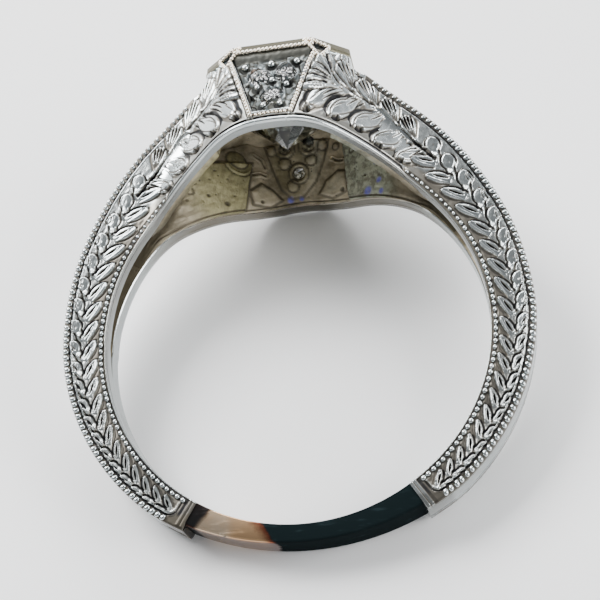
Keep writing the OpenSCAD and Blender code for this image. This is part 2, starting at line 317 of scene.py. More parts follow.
class Relief:
    """Heights and darkness over a face of the ring, cut as an engraver cuts them."""

    def __init__(self, x, h, seed, angles=None):
        self.x, self.h, self.angles = x, h, angles
        self.height, self.dark = np.zeros_like(x), np.zeros_like(x)
        self.random = np.random.default_rng(seed)

    def near(self, angle, spread=26):
        """The rows of the mesh within reach of an angle."""
        if self.angles is None:
            return EVERYWHERE
        return slice(*np.searchsorted(self.angles, (angle - spread, angle + spread)))

    def shake(self):
        return self.random.uniform(-1, 1, 4)

    def distance(self, x, h):
        return np.hypot(self.x - x, self.h - h)

    def darken(self, amount, rows=EVERYWHERE):
        self.dark[rows] = np.maximum(self.dark[rows], amount)

    def level(self, height, share, dark=None):
        """Brings the ground to a height, and where one is given to a darkness, by a share."""
        self.height = mix(self.height, height, share)
        if dark is not None:
            self.dark = mix(self.dark, dark, share)

    def score(self, line, depth, dark=1.0, spread=2.2, rows=EVERYWHERE):
        """Cuts a line that is one in its middle; the darkness fills it out further than the cut does."""
        self.height[rows] -= depth * line
        self.darken(dark * smooth_step(spread * line), rows)

    def outline(self, outside, width, strength=1.0):
        self.score(tent(outside - 0.4 * width, width), 0.0, strength, 1.6)

    def roughen(self, amount, cell):
        """Small unevenness, as of a hand tool or a casting, with a size of cell rows."""
        rows, cols = self.x.shape
        coarse = self.random.uniform(-1, 1, (rows // cell + 3, cols // cell + 3))
        i, j = np.arange(rows) / cell, np.arange(cols) / cell
        i0, j0 = i.astype(int), j.astype(int)
        fi, fj = smooth_step(i - i0)[:, None], smooth_step(j - j0)[None, :]
        low, high = (mix(coarse[np.ix_(k, j0)], coarse[np.ix_(k, j0 + 1)], fj) for k in (i0, i0 + 1))
        self.height += amount * mix(low, high, fi)

    def facets(self, count, slope, line):
        """Breaks the ground into small flat faces that lean each its own way, with dark lines between."""
        x, h = self.x, self.h
        spots = self.random.uniform(0, 1, (count, 2)) * [np.ptp(x), np.ptp(h)] + [x.min(), h.min()]
        lean = self.random.uniform(-slope, slope, (count, 2))
        d = np.hypot(x[..., None] - spots[:, 0], h[..., None] - spots[:, 1])
        nearest = np.argsort(d, -1)[..., :2]
        first, second = np.moveaxis(np.take_along_axis(d, nearest, -1), -1, 0)
        k = nearest[..., 0]
        self.height += (x - spots[k, 0]) * lean[k, 0] + (h - spots[k, 1]) * lean[k, 1]
        self.darken(smooth_step(1.6 - 1.6 * (second - first) / line) * (0.5 + 0.25 * (k % 3)))

    def mound(self, corners, soft, rise, line=0.09):
        """A raised patch with soft sides and a dark line round it."""
        room = inside_of(corners, self.x, self.h)
        self.height += rise * smooth_step(room / soft + 0.5)
        self.outline(-room, line, 0.9)
        return room

    def dome(self, x, h, radius, rise):
        """A round bump with a dark line round it."""
        d = self.distance(x, h)
        self.height += rise * arc(d / radius)
        self.dark[d < radius] = 0
        self.outline(d - radius, 0.07)

    def hoop(self, x, h, radius, width, rise):
        """A raised ring with a dark line round it."""
        off = self.distance(x, h) - radius
        self.height += rise * arc(off / (0.5 * width))
        self.outline(np.abs(off) - 0.5 * width, 0.08)

    def stroke(self, path, width, depth, dark=1.0, ridge=0.0):
        """A line of even width along a path, with a thin ridge on both sides of it."""
        near = np.full(self.x.shape, 9.0)
        for (px, ph), (qx, qh) in zip(path, path[1:]):
            dx, dh = qx - px, qh - ph
            t = np.clip(((self.x - px) * dx + (self.h - ph) * dh) / (dx * dx + dh * dh), 0, 1)
            near = np.minimum(near, self.distance(px + dx * t, ph + dh * t))
        bank = tent(near - 0.9 * width, 0.5 * width)
        self.height += ridge * smooth_step(bank)
        self.dark *= 1 - 0.8 * bank
        self.score(tent(near, 0.5 * width), depth, dark, 2)


class Leaf:
    """One leaf: its own directions along and across, with the side that faces the head as positive across."""

    def __init__(self, relief, angle, foot, heading, up, length, half_width, bend=0.0):
        self.relief, self.rows = relief, relief.near(angle)
        dx, dh = relief.x[self.rows] - foot[0], relief.h[self.rows] - foot[1]
        self.share = (dx * heading[0] + dh * heading[1]) / length
        self.across = dx * up[0] + dh * up[1] - bend * length * self.share * np.abs(self.share)
        self.length, self.half_width = length, half_width

    @classmethod
    def between(cls, relief, foot, tip, half_width, bend=0.0):
        """A leaf from foot to tip; its positive side faces the head."""
        foot, tip = np.array(foot, float), np.array(tip, float)
        heading = unit(tip - foot)
        up = np.array([-heading[1], heading[0]])
        up = up if up @ np.array([-0.5, 1.0]) > 0 else -up
        angle = math.degrees(math.atan2(foot[0], foot[1]))
        return cls(relief, angle, foot, heading, up, float(np.hypot(*(tip - foot))), half_width, bend)

    def half(self, belly, neck, paddle):
        """Half width along the leaf: a round paddle on a neck, or a blade that swells to its belly."""
        t = self.share
        tip = arc((t - belly) / (1 - belly))
        if paddle:
            half = np.maximum(tip, neck * (t < belly))
        else:
            half = np.where(t < belly, neck + (1 - neck) * smooth_step(t / belly), tip)
        return self.half_width * np.where((t < 0) | (t > 1), 0.0, half)

    def distance(self, share, across):
        return np.hypot((self.share - share) * self.length, self.across - across * self.half_width)

    def stand(self, rise, belly, neck, crown, tilt, edge=0.05, rim=0.07, rim_up=1.0, rim_down=1.0,
              rim_from=0.1, paddle=False, echo=0.0):
        """Raises the leaf, with a dark line cut round it and, with echo, a fine one inside."""
        relief, rows = self.relief, self.rows
        half = self.half(belly, neck, paddle)
        inside = half - np.abs(self.across)
        inside += self.length * (np.minimum(self.share, 0) - np.maximum(self.share - 1, 0))
        q = np.clip(np.abs(self.across) / np.maximum(half, 1e-3), 0, 1)
        top = rise + crown * (1 - q * q) + tilt * (self.share - 0.5)
        lift = smooth_step(inside / edge)
        relief.height[rows] = mix(relief.height[rows], top, lift)
        relief.dark[rows] *= 1 - lift
        upper = smooth_step(self.across / (0.25 * self.half_width) + 0.5)
        strength = mix(rim_down, rim_up, upper) * smooth_step((self.share - rim_from) / 0.12 + 0.5)
        relief.score(tent(inside + 0.45 * rim, 0.62 * rim), 0.055 * strength, strength, rows=rows)
        if echo:
            relief.score(tent(inside - echo, 0.045) * strength, 0.05, 0.9, 2, rows)

    def cut(self, share0, across0, share1, across1, width, depth=0.07, bow=0.0, dark=1.0, fat=0.5):
        """A tapered stroke of the graver inside the leaf; a negative depth leaves a bright ridge.

        Across values are parts of the half width.
        """
        relief, rows = self.relief, self.rows
        du, dw = (share1 - share0) * self.length, (across1 - across0) * self.half_width
        u, w = (self.share - share0) * self.length, self.across - across0 * self.half_width
        run = math.hypot(du, dw)
        t = (u * du + w * dw) / run ** 2
        off = (w * du - u * dw) / run - bow * run * 4 * t * (1 - t)
        taper = np.where(t < fat, t / fat, (1 - t) / (1 - fat))
        half = 0.5 * width * np.sqrt(np.clip(taper, 0, 1))
        groove = tent(off, np.maximum(half, 1e-4)) * (t > 0) * (t < 1)
        if depth > 0:
            relief.score(groove, depth, dark, rows=rows)
        else:
            relief.height[rows] -= depth * groove
            relief.dark[rows] *= 1 - smooth_step(2.2 * groove)

    def drill(self, share, across, radius, depth):
        """A drilled dot."""
        hole = smooth_step((radius - self.distance(share, across)) / (0.3 * radius))
        self.relief.height[self.rows] -= depth * hole
        self.relief.darken(hole, self.rows)

    def lump(self, share, across, radius, rise):
        """A small bright swelling."""
        swell = smooth_step(1 - self.distance(share, across) / radius)
        self.relief.height[self.rows] += rise * swell
        self.relief.dark[self.rows] *= 1 - np.minimum(1.4 * swell, 1)


# Places read from the photograph, in millimetres. On the shoulder a leaf is the x and h of its foot and of
# its tip and its half width; a lobe also says whether a dot is drilled at its tip
SHOULDER_STEM = ((2.45, 12.75), (2.58, 11.95), (2.95, 11.2), (3.5, 10.85), (4.25, 10.45), (4.7, 10.05),
                 (5.31, 9.25), (6.31, 8.12), (6.95, 7.4))
FANS = (((3.6, 10.8), (3.22, 12.66), 0.46), ((4.45, 10.15), (4.06, 11.82), 0.46),
        ((5.36, 9.25), (5.04, 10.78), 0.42), ((6.08, 8.42), (5.82, 9.74), 0.36))
LOBES = (((2.4, 10.05), (1.4, 9.15), 0.3, True), ((3.0, 10.78), (1.62, 9.5), 0.5, False),
         ((3.75, 10.4), (2.5, 8.95), 0.5, True), ((4.75, 9.8), (3.46, 8.72), 0.54, True),
         ((5.66, 8.95), (4.24, 8.08), 0.52, True), ((6.5, 7.9), (5.2, 7.55), 0.44, True))
PLUMES = (((3.05, 12.2), (3.1, 13.2), 0.28), ((2.66, 11.5), (2.5, 13.1), 0.2),
          ((2.62, 11.4), (2.05, 12.6), 0.26), ((2.66, 11.25), (1.68, 12.05), 0.25),
          ((2.75, 11.1), (1.42, 11.45), 0.23),
          ((2.85, 10.98), (1.3, 10.95), 0.2), ((2.95, 10.85), (1.22, 10.42), 0.22))
# Along the band the stem is an angle from the head, in degrees, and a distance from the hole
BAND_STEM = ((30, 2.0), (38, 1.6), (44, 1.4), (50, 1.23), (57, 1.16), (68, 1.12), (80, 1.07), (95, 1.0),
             (120, 0.92), (149, 0.84))
FIRST_FOOT, FIRST_DART, LAST_FOOT = 44.2, 52, BAND_END - 3.4
BAND_MIDDLE_R = 9.8
PANEL_SIDE = ((PANEL_LOW_HALF - 0.08, PANEL_LOW - 0.3), (PANEL_TOP_HALF - 0.16, PANEL_TOP - 0.45))
END_GAP = 0.3
INNER_BED, INNER_BED_HALF = 0.21, 0.13        # the inner milgrain's distance from the hole and its bed
LIP_GROOVE, LIP_GROOVE_HALF = 0.24, 0.1       # the groove above the plain lip along the hole


def band_pitch(angle):
    """Degrees from one pair of leaves to the next. They crowd towards the plain stretch."""
    return 6.2 - 2.4 * (max(angle - 50, 0) / 90) ** 1.5


def low_on_band(angle):
    """Nothing on the upper band, one near the plain stretch."""
    return smooth_step((angle - 84) / 26)


def fan(relief, foot, tip, half_width, shake, flutes=4):
    """A fluted leaf on the shoulder, open at its far end."""
    leaf = Leaf.between(relief, foot, tip, half_width, bend=0.06)
    leaf.stand(0.05, belly=0.7, neck=0.22, crown=0.04, tilt=0.1, rim=0.11, rim_down=0.7)
    for k in range(flutes):
        place = -0.68 + 1.3 * k / (flutes - 1) + 0.06 * shake[1]
        start = 0.4 + 0.08 * (k % 2) + 0.05 * abs(shake[0])
        leaf.cut(start, place * 0.62, 1.0 - 0.12 * place * place, place, 0.15, 0.14, bow=0.02, fat=0.7)
        leaf.cut(0.06, place * 0.2, start + 0.02, place * 0.6, 0.08, 0.06, dark=0.9)
    leaf.lump(0.06, 0.0, 0.16, 0.05)


def plume(relief, foot, tip, half_width, shake):
    """A long narrow leaf that spreads from the top of the stem, with two cuts along it."""
    leaf = Leaf.between(relief, foot, tip, half_width, bend=0.05 * shake[0])
    leaf.stand(0.05, belly=0.6, neck=0.2, crown=0.08, tilt=0.02, rim=0.09, rim_from=0.12)
    leaf.cut(0.15, 0.3, 0.8, 0.35, 0.07, 0.08, fat=0.6)
    leaf.cut(0.3, -0.35, 0.7, -0.4, 0.05, 0.06, fat=0.6)


def lobe(relief, foot, tip, half_width, dot):
    """A round lobe on the shoulder: hooded by a curved line, with a few cuts at its foot."""
    leaf = Leaf.between(relief, foot, tip, half_width, bend=-0.03)
    leaf.stand(0.04, belly=0.44, neck=0.55, crown=0.05, tilt=0.05, edge=0.1, rim=0.2, rim_down=0.6,
               rim_from=-0.3, echo=0.16 if dot else 0.0)
    if dot:
        for k in range(3):
            leaf.cut(-0.1, 0.55 - 0.5 * k, 0.34 + 0.1 * (k % 2), 0.5 - 0.55 * k, 0.12, 0.09,
                     fat=0.35, bow=0.03)
        leaf.cut(0.36, 0.2, 0.84, 0.35, 0.06, 0.04, bow=0.07, dark=0.8)
    else:
        for k in range(5):
            leaf.cut(0.0, 0.75 - 0.36 * k, 0.55 + 0.12 * (k % 2), 0.8 - 0.42 * k, 0.14, 0.12, bow=0.03)
        leaf.cut(0.55, 0.3, 0.95, 0.1, 0.07, 0.05)


def lobe_dot(relief, foot, tip, half_width):
    """The drilled dot at the tip of a lobe, with a curved cut into it."""
    leaf = Leaf.between(relief, foot, tip, half_width, bend=-0.03)
    leaf.cut(0.55, -0.85, 0.9, -0.75, 0.1, 0.08, bow=-0.05)
    leaf.drill(0.93, -0.5, 0.2, 0.22)


def outer_leaf(relief, angle, foot, heading, up, size, low, shake):
    """A round paddle on the band. low grows towards the plain stretch, and the slit in it opens."""
    leaf = Leaf(relief, angle, foot, heading, up, 1.2 * size * (1 + 0.03 * shake[0]), 0.29 * size, bend=0.03)
    leaf.stand(0.03, belly=0.71, neck=mix(0.5, 0.65, low), crown=0.02, tilt=0.05, rim=0.105, paddle=True)
    leaf.cut(mix(0.6, 0.4, low), -0.1, mix(0.72, 0.9, low), -0.12, mix(0.03, 0.2 * size, low),
             mix(0.03, 0.12, low), bow=0.04)
    leaf.cut(0.3, -0.75, 1.0, -0.35, 0.1, mix(-0.02, -0.05, low), bow=-0.14)
    leaf.lump(0.22, 0.0, 0.24 * size, 0.09)


def inner_leaf(relief, angle, foot, heading, up, size, shake):
    """A slit leaf on the band that hooks towards the inner milgrain."""
    leaf = Leaf(relief, angle, foot, heading, up, 1.13 * size * (1 + 0.03 * shake[1]), 0.25 * size,
                bend=-0.09)
    leaf.stand(0.028, belly=0.45, neck=0.7, crown=0.015, tilt=0.05, rim=0.1, rim_down=0.8, rim_from=0.0)
    leaf.cut(0.12, 0.3, 0.74, 0.28, 0.13, 0.13, fat=0.55, bow=-0.04)
    leaf.cut(0.02, -0.55, 0.98, -0.1, 0.1, -0.04, bow=-0.06)
    leaf.cut(0.5, 0.55, 0.99, 0.25, 0.07, -0.03)


def dart(relief, angle, foot, heading, up):
    """A small arrow-head between two leaf tips and the border."""
    leaf = Leaf(relief, angle, foot, heading, up, 0.36, 0.12)
    leaf.stand(0.03, belly=0.12, neck=0.6, crown=0.02, tilt=0.02, rim=0.05, rim_from=-0.2)
    leaf.cut(0.0, 0.0, 0.75, 0.0, 0.08, 0.07, fat=0.2)


def inside_of(corners, x, h):
    """How far a point lies inside an outline whose corners run clockwise."""
    room = np.full(np.shape(x), 9.0)
    for p, q in zip(corners, corners[1:] + corners[:1]):
        d = unit(np.subtract(q, p))
        room = np.minimum(room, (x - p[0]) * d[1] - (h - p[1]) * d[0])
    return room


def band_leaves(relief):
    """The pairs of leaves along the stem, from the shoulder down to the plain stretch."""
    stem_angles, stem_distances = np.array(BAND_STEM, float).T

    def stem(angle):
        r, t = HOLE_R + np.interp(angle, stem_angles, stem_distances), math.radians(angle)
        return np.array([r * math.sin(t), r * math.cos(t)])

    angle = FIRST_FOOT
    while angle < LAST_FOOT:
        foot = stem(angle)
        out, tangent = unit(foot), unit(stem(angle - 3) - stem(angle + 3))
        normal = unit(out - tangent * (out @ tangent))
        size = math.radians(band_pitch(angle)) * BAND_MIDDLE_R
        low = float(low_on_band(angle))
        shake = relief.shake()
        lean = math.radians(mix(27, 24, low) + 1.5 * shake[2])
        c, s = math.cos(lean), math.sin(lean)
        outer_leaf(relief, angle, foot + 0.05 * normal, c * tangent + s * normal, s * tangent - c * normal,
                   size, low, shake)
        lean = math.radians(30 + 1.5 * shake[3])
        c, s = math.cos(lean), math.sin(lean)
        inner_leaf(relief, angle, foot - 0.04 * normal, c * tangent - s * normal, s * tangent + c * normal,
                   size, shake)
        if angle > FIRST_DART:
            dart(relief, angle, foot + 0.55 * size * tangent + normal * mix(0.66, 0.5, low), tangent, normal)
        angle += band_pitch(angle) * (1 + 0.01 * shake[0])


def engrave(relief, length, v, end_tone):
    """Cuts the ground, the stem, the border and the leaves.

    length is that of each station, v the way from the hole, and end_tone the metal's darkness at the end.
    """
    angle, length = relief.angles[:, None], length[:, None]
    from_end = np.radians(BAND_END - angle) * 9.4
    from_edge = length - v
    from_border = -smooth_max(-from_edge, END_GAP - from_end, 0.35)
    band, low = smooth_step((angle - 38) / 12), low_on_band(angle)

    # ground: flush on the shoulder, sunk on the band, deep and brown beside the finger hole
    hole_side = smooth_step((0.86 - v) / 0.25) * band
    relief.height[:] = mix(0.0, -0.015, band) - 0.03 * hole_side
    shoulder_tone = 0.1 + 0.3 * smooth_step((0.9 - v) / 0.3)
    relief.dark[:] = mix(shoulder_tone, 0.16 + 0.14 * low, band) + 0.42 * hole_side

    for leaf in LOBES:
        relief.shake()    # a lobe takes a draw and uses none of it
        lobe(relief, *leaf)
    for *leaf, dot in LOBES:
        if dot:
            lobe_dot(relief, *leaf)
    for leaf in PLUMES:
        plume(relief, *leaf, relief.shake())
    for leaf in FANS:
        fan(relief, *leaf, relief.shake())
    band_leaves(relief)
    relief.stroke(SHOULDER_STEM, 0.14, 0.11, ridge=0.03)
    relief.darken(0.14 * low)
    relief.roughen(0.006, 5)

    # border: a thin bright ridge and a dark line, which turn across the end of the band
    bordered = angle > 17
    relief.level(0.02, smooth_step(tent(from_border - 0.42, 0.035)) * bordered, 0.0)
    relief.score(tent(from_border - 0.33, 0.05) * bordered, 0.06, spread=2)

    # beds of the milgrain, dark only between the beads
    relief.level(-0.06, (from_border < 0.29) & (angle > 20), 0.78)
    beaded = smooth_step((angle - 37) / 3)
    relief.level(-0.07, smooth_step((INNER_BED_HALF - np.abs(v - INNER_BED)) / 0.03) * beaded, 0.9)

    # the plain lip along the hole on the shoulder, above it a deep groove and a thin bright line
    relief.level(0.02, smooth_step((0.36 - v) / 0.02) * (1 - beaded), 0.0)
    groove = tent(v - mix(LIP_GROOVE, 0.07, beaded), mix(LIP_GROOVE_HALF, 0.04, beaded))
    relief.score(groove, mix(0.12, 0.06, beaded))

    # the tan bands between the engraving's end and the plain stretch
    relief.level(-0.02, smooth_step((END_GAP + 0.06 - from_end) / 0.02), end_tone)
    bands = tent(from_end - 0.2, 0.03)
    relief.height -= 0.08 * bands
    relief.darken(np.maximum(bands, smooth_step(1.8 - np.abs(from_end - 0.44) / 0.07)))

    # dark lines on both sides of the milgrain beside the panel
    for offset in (0.0, 0.26):
        relief.stroke([(x + offset, h) for x, h in PANEL_SIDE], 0.1, 0.06)

    # small recesses in the corners of the head, and the rounded edges of the side face
    corner = inside_of(CORNER_RECESS, relief.x, relief.h)
    relief.level(-0.12, smooth_step((corner + 0.03) / 0.05))
    relief.dark[corner > -0.02] = 0.75
    lip, edge = 0.05, 0.09
    relief.level(-lip * (1 - arc(1 - v / lip)), v < lip, 0.0)
    relief.level(-0.06 - edge * (1 - arc(1 - from_edge / edge)), from_edge < edge)


def bright_cut(relief):
    """The floor of a side panel: cut into small faces round the stones, with a painted shadow under each bead
    and painted shade along its top.
    """
    relief.height[:] = 0.06
    relief.dark[:] = 0.3
    relief.facets(110, slope=0.75, line=0.1)
    relief.roughen(0.025, 3)
    for x, h in PANEL_STONES:
        d = relief.distance(x, h)
        collar = smooth_step(tent(d - 0.6, 0.1))
        turn = np.arctan2(relief.h - h, relief.x - x)
        relief.height += 0.07 * collar * (0.5 + 0.5 * np.cos(7 * turn))
        relief.dark *= 1 - 0.5 * collar
        relief.outline(0.52 - d, 0.06)
    # painted shadow under each bead, set a little below it, over a shallow dip
    for x, h in PANEL_BEADS:
        d = relief.distance(x, h - 0.07)
        relief.darken(0.92 * smooth_step((0.35 - d) / 0.1))
        relief.height -= 0.1 * smooth_step((0.34 - d) / 0.1)
    # painted shade: the top of the floor, under the head's border, is raised and darkened
    top = smooth_step((relief.h - 12.55) / 0.12)
    relief.level(0.02 + 0.22 * smooth_step((relief.h - 12.5) / 0.45), top, 0.5)
    relief.roughen(0.014, 4)
    edge = 1 - np.abs(relief.x) / np.abs(relief.x).max(axis=1, keepdims=True)
    relief.darken(smooth_step(1.5 - edge / 0.06))


# Places on the unpolished inside, as x and h in millimetres; outlines run clockwise
LEFT_PAD = ((-2.36, 10.72), (-2.86, 8.2), (-6.5, 4.5), (-9.5, 1.5), (-9.5, 7.8), (-6.5, 9.25), (-4.5, 10.12),
            (-3.4, 10.5))
RIGHT_PAD = ((2.48, 11.2), (9.5, 11.2), (9.5, 1.3), (2.55, 8.3))
SEAT_PLATE = ((-1.62, 11.75), (1.65, 11.8), (1.3, 10.75), (0.8, 9.75), (0.1, 9.1), (-0.45, 9.05),
              (-0.95, 9.55), (-1.3, 10.5))
LEFT_MOUND = ((-2.5, 9.35), (-1.95, 9.78), (-1.45, 9.5), (-1.0, 9.0), (-1.6, 8.7), (-2.4, 8.75))
RIGHT_MOUND = ((0.95, 9.1), (1.35, 9.65), (2.0, 9.95), (2.45, 9.8), (2.4, 8.9), (1.6, 8.8))
# a patch's outline, the softness of its sides, its rise, and how pale it is over what width
CAST_PATCHES = ((SEAT_PLATE, 0.2, 0.1, 0.3, 0.2), (LEFT_MOUND, 0.25, 0.14, 0.22, 0.3),
                (RIGHT_MOUND, 0.25, 0.14, 0.22, 0.3))
CAST_RIDGES = (((-2.3, 10.2), (-1.95, 10.3), (-1.7, 10.2)), ((-2.2, 11.2), (-1.85, 11.0), (-1.7, 10.6)),
               ((1.75, 10.7), (2.0, 10.5), (2.3, 10.4)))
# bumps have a radius and a rise, pits and cool spots a radius
CAST_BUMPS = ((-1.28, 11.42, 0.22, 0.16), (1.32, 11.42, 0.23, 0.16), (-0.68, 10.74, 0.27, 0.16),
              (0.68, 10.78, 0.25, 0.14), (-0.34, 9.62, 0.28, 0.15), (2.0, 11.2, 0.14, 0.08),
              (3.05, 10.5, 0.1, 0.08), (-5.2, 8.6, 0.16, 0.06))
CAST_PITS = ((-4.41, 8.6, 0.1), (-3.64, 8.42, 0.14), (-4.05, 9.9, 0.06), (-3.55, 9.62, 0.05),
             (-4.3, 9.4, 0.05), (-3.3, 8.9, 0.05), (-4.9, 9.0, 0.05), (-5.3, 8.1, 0.07),
             (3.1, 9.6, 0.05), (3.6, 9.0, 0.06),
             (4.3, 9.1, 0.05), (-2.0, 8.9, 0.12), (2.2, 9.0, 0.16))
COOL_SPOTS = ((3.68, 8.2, 0.27), (4.3, 8.4, 0.17), (4.35, 7.85, 0.17), (4.2, 9.3, 0.15), (-0.55, 8.98, 0.22),
              (0.0, 8.98, 0.16))
BOSS_X, BOSS_H = -3.0, 10.72


def cast_inside(relief, v):
    """The gallery's unpolished wall: pale pads, the backs of the small seats, bumps, ridges, pits and stains,
    with painted shade under the roof and towards the lower outer parts.

    Returns the shares of its darkness (patina and painted shade), its paleness and its cool stains.
    """
    relief.height[:] = 0.05
    relief.roughen(0.03, 11)
    relief.roughen(0.016, 4)
    x, h = relief.x, relief.h
    pale, cool = np.zeros_like(x), np.zeros_like(x)

    def whiten(amount):
        pale[:] = np.maximum(pale, amount)

    for corners, tone in ((LEFT_PAD, 1.0), (RIGHT_PAD, 0.85)):
        room = relief.mound(corners, 0.14, 0.26, 0.12)
        # the pads' paleness fades towards their outer and lower parts as painted shade
        shown = smooth_step((5.9 - np.abs(x)) / 1.3) * smooth_step((h - 6.6) / 1.4)
        whiten(tone * shown * smooth_step(room / 0.1 + 0.5))
        whiten(1.2 * smooth_step(tent(room - 0.16, 0.16)) * (x > -3.2) * (x < 0) * (h < 10.6))
    for corners, soft, rise, tone, width in CAST_PATCHES:
        whiten(tone * smooth_step(relief.mound(corners, soft, rise) / width))
    for path in CAST_RIDGES:
        relief.stroke(path, 0.1, 0.08, dark=0.85, ridge=0.09)
    for bump in CAST_BUMPS:
        relief.dome(*bump)
    for stone_x, stone_h in PANEL_STONES:
        place = stone_x, stone_h - 0.16
        relief.hoop(*place, 0.4, 0.16, 0.12)
        whiten(0.45 * smooth_step(1.5 - 3 * np.abs(relief.distance(*place) - 0.4) / 0.16))

    # the round boss on the left pad, with a wire bent half round it and a cut outside the wire
    relief.dome(BOSS_X, BOSS_H, 0.4, 0.16)
    whiten(smooth_step(4 - 8 * relief.distance(BOSS_X, BOSS_H)))
    turns = np.radians(range(-70, 85, 14))
    for radius, width, depth, dark in ((0.56, 0.09, -0.1, 0.0), (1.22 * 0.56, 0.07, 0.05, 1.0)):
        wire = [(BOSS_X + radius * math.sin(t), BOSS_H - 0.1 - radius * math.cos(t)) for t in turns]
        relief.stroke(wire, width, depth, dark)

    for pit_x, pit_h, radius in CAST_PITS:
        d = relief.distance(pit_x, pit_h) / radius
        relief.height -= 0.1 * smooth_step(1.5 - 1.5 * d)
        relief.darken(smooth_step(2 - 2 * d))
    for spot_x, spot_h, radius in COOL_SPOTS:
        cool = np.maximum(cool, smooth_step(1.6 - 1.6 * relief.distance(spot_x, spot_h) / radius))
    relief.score(tent(v - 0.16, 0.06), 0.06, spread=1.8)
    # painted shade under the roof outside the left pad, darker still towards the far lower parts, where the
    # paleness is taken away too
    outside_pad = 1 - smooth_step(inside_of(LEFT_PAD, x, h) / 0.1 + 0.5)
    shade = smooth_step((h - 10.2 - 0.2 * np.abs(x + 3)) / 0.8) * (x < -1.5) * outside_pad
    far = smooth_step((np.abs(x) - 4.0) / 2.2) * smooth_step((9.2 - h) / 2.2)
    relief.darken(np.maximum(0.5 * shade, 0.92 * far))
    return {"patina": relief.dark, "pale": pale * (1 - 0.8 * far), "cool": cool}


def slab(name, x, h, face, height, hand, facing, materials, marks, inward=False, back=0.42):
    """A closed plate on one of the ring's faces: its front carries the relief, its back is in the metal."""
    turn = -1 if inward else 1
    rows, cols = x.shape
    front = np.stack([x, h, face(x, h)], -1) + face_normal(face, x, h) * (turn * height[..., None])
    edges = [np.stack([x[:, j], h[:, j], face(x[:, j], h[:, j]) - turn * back], -1) for j in (0, cols - 1)]
    points = np.concatenate([front.reshape(-1, 3), *edges]) * np.array([hand, 1, facing])
    faces = grid_faces(rows, cols)
    low, high = rows * cols, rows * cols + rows
    for i in range(rows - 1):
        faces.append([i * cols, (i + 1) * cols, low + i + 1, low + i])
        faces.append([low + i, low + i + 1, high + i + 1, high + i])
        faces.append([high + i, high + i + 1, (i + 2) * cols - 1, (i + 1) * cols - 1])
    last = (rows - 1) * cols
    faces.append(list(range(cols))[::-1] + [low, high])
    faces.append([last + j for j in range(cols)] + [high + rows - 1, low + rows - 1])
    marks = {k: np.concatenate([np.clip(m, 0, 1).ravel(), np.zeros(2 * rows)]) for k, m in marks.items()}
    return new_piece(name, points, faces, materials, marks=marks)


def across_rows(length, inner=0.44, outer=0.36, field=78):
    """Distances from the hole across the side face, closer together at its two edges."""
    near, far = np.linspace(0.004, inner, 16), np.linspace(-outer, -0.006, 14)
    share = np.linspace(0, 1, field + 2)[1:-1]
    ones = np.ones((len(length), 1))
    field_rows = inner + (length[:, None] - outer - inner) * share
    return np.concatenate([ones * near, field_rows, length[:, None] + ones * far], 1)


# Materials

class Socket:
    """A shader value that takes part in ordinary arithmetic."""

    def __init__(self, finish, link):
        self.finish, self.link = finish, link

    def _math(self, operation, *values):
        return self.finish.add("Math", dict(enumerate(values)), operation=operation)

    def __add__(self, other):
        return self._math("ADD", self, other)

    def __sub__(self, other):
        return self._math("SUBTRACT", self, other)

    def __rsub__(self, other):
        return self._math("SUBTRACT", other, self)

    def __mul__(self, other):
        return self._math("MULTIPLY", self, other)

    __radd__ = __add__
    __rmul__ = __mul__


class Finish:
    """The nodes of one material or of the world."""

    def __init__(self, owner):
        owner.use_nodes = True
        self.owner, self.tree = owner, owner.node_tree
        self.tree.nodes.clear()

    def add(self, kind, inputs=None, output=0, **settings):
        """A shader node of a kind, with its settings made first; gives back one of its outputs."""
        node = self.tree.nodes.new("ShaderNode" + kind)
        for key, value in settings.items():
            if key == "stops":
                ramp = node.color_ramp
                while len(ramp.elements) < len(value):
                    ramp.elements.new(0.5)
                for element, (position, colour) in zip(ramp.elements, value):
                    element.position, element.color = position, colour
            else:
                setattr(node, key, value)
        for key, value in (inputs or {}).items():
            if isinstance(value, Socket):
                self.tree.links.new(value.link, node.inputs[key])
            else:
                node.inputs[key].default_value = value
        return Socket(self, node.outputs[output]) if len(node.outputs) else node

    def noise(self, place, scale, detail=3.0, roughness=0.55):
        return self.add("TexNoise", {"Vector": place, "Scale": scale, "Detail": detail,
                                     "Roughness": roughness})

    def stretched(self, place, scale, rotation=(0, 0, 0)):
        return self.add("Mapping", {"Vector": place, "Scale": scale, "Rotation": rotation})

    def cells(self, place, scale):
        return self.add("TexVoronoi", {"Vector": place, "Scale": scale}, feature="F1")

    def blend(self, share, first, second, how="MIX"):
        """From the first colour towards the second; each is a link or a colour."""
        first, second = (c if isinstance(c, Socket) else rgba(c) for c in (first, second))
        return self.add("Mix", {"Factor": share, 6: first, 7: second}, 2, data_type="RGBA", blend_type=how)

    def step(self, value, low, high):
        return self.add("MapRange", {"Value": value, "From Min": low, "From Max": high},
                        interpolation_type="SMOOTHSTEP")

    def mark(self, name):
        return self.add("Attribute", output=2, attribute_name=name)

    def bump(self, strength, distance, height):
        return self.add("Bump", {"Strength": strength, "Distance": distance, "Height": height})

    def parts(self, vector):
        """The three numbers of a vector."""
        node = self.add("SeparateXYZ", {"Vector": vector}).link.node
        return [Socket(self, output) for output in node.outputs]

    def ring_parts(self, vector):
        """The parts of a vector to the ring's right, towards its head and along its finger axis."""
        x, y, z = self.parts(vector)
        return x, y * math.cos(TIP) + z * math.sin(TIP), z * math.cos(TIP) - y * math.sin(TIP)

    def place(self):
        return self.add("TexCoord", output=3)

    def normal(self):
        return self.add("TexCoord", output=1)

    def surface(self, inputs, **settings):
        return self.add("BsdfPrincipled", inputs, **settings)

    def done(self, shader, kind="OutputMaterial"):
        self.add(kind, {"Surface": shader})
        return self.owner


def rgba(colour):
    return (*colour[:3], 1.0)


def shaded(colour, share):
    return [share * c for c in colour]


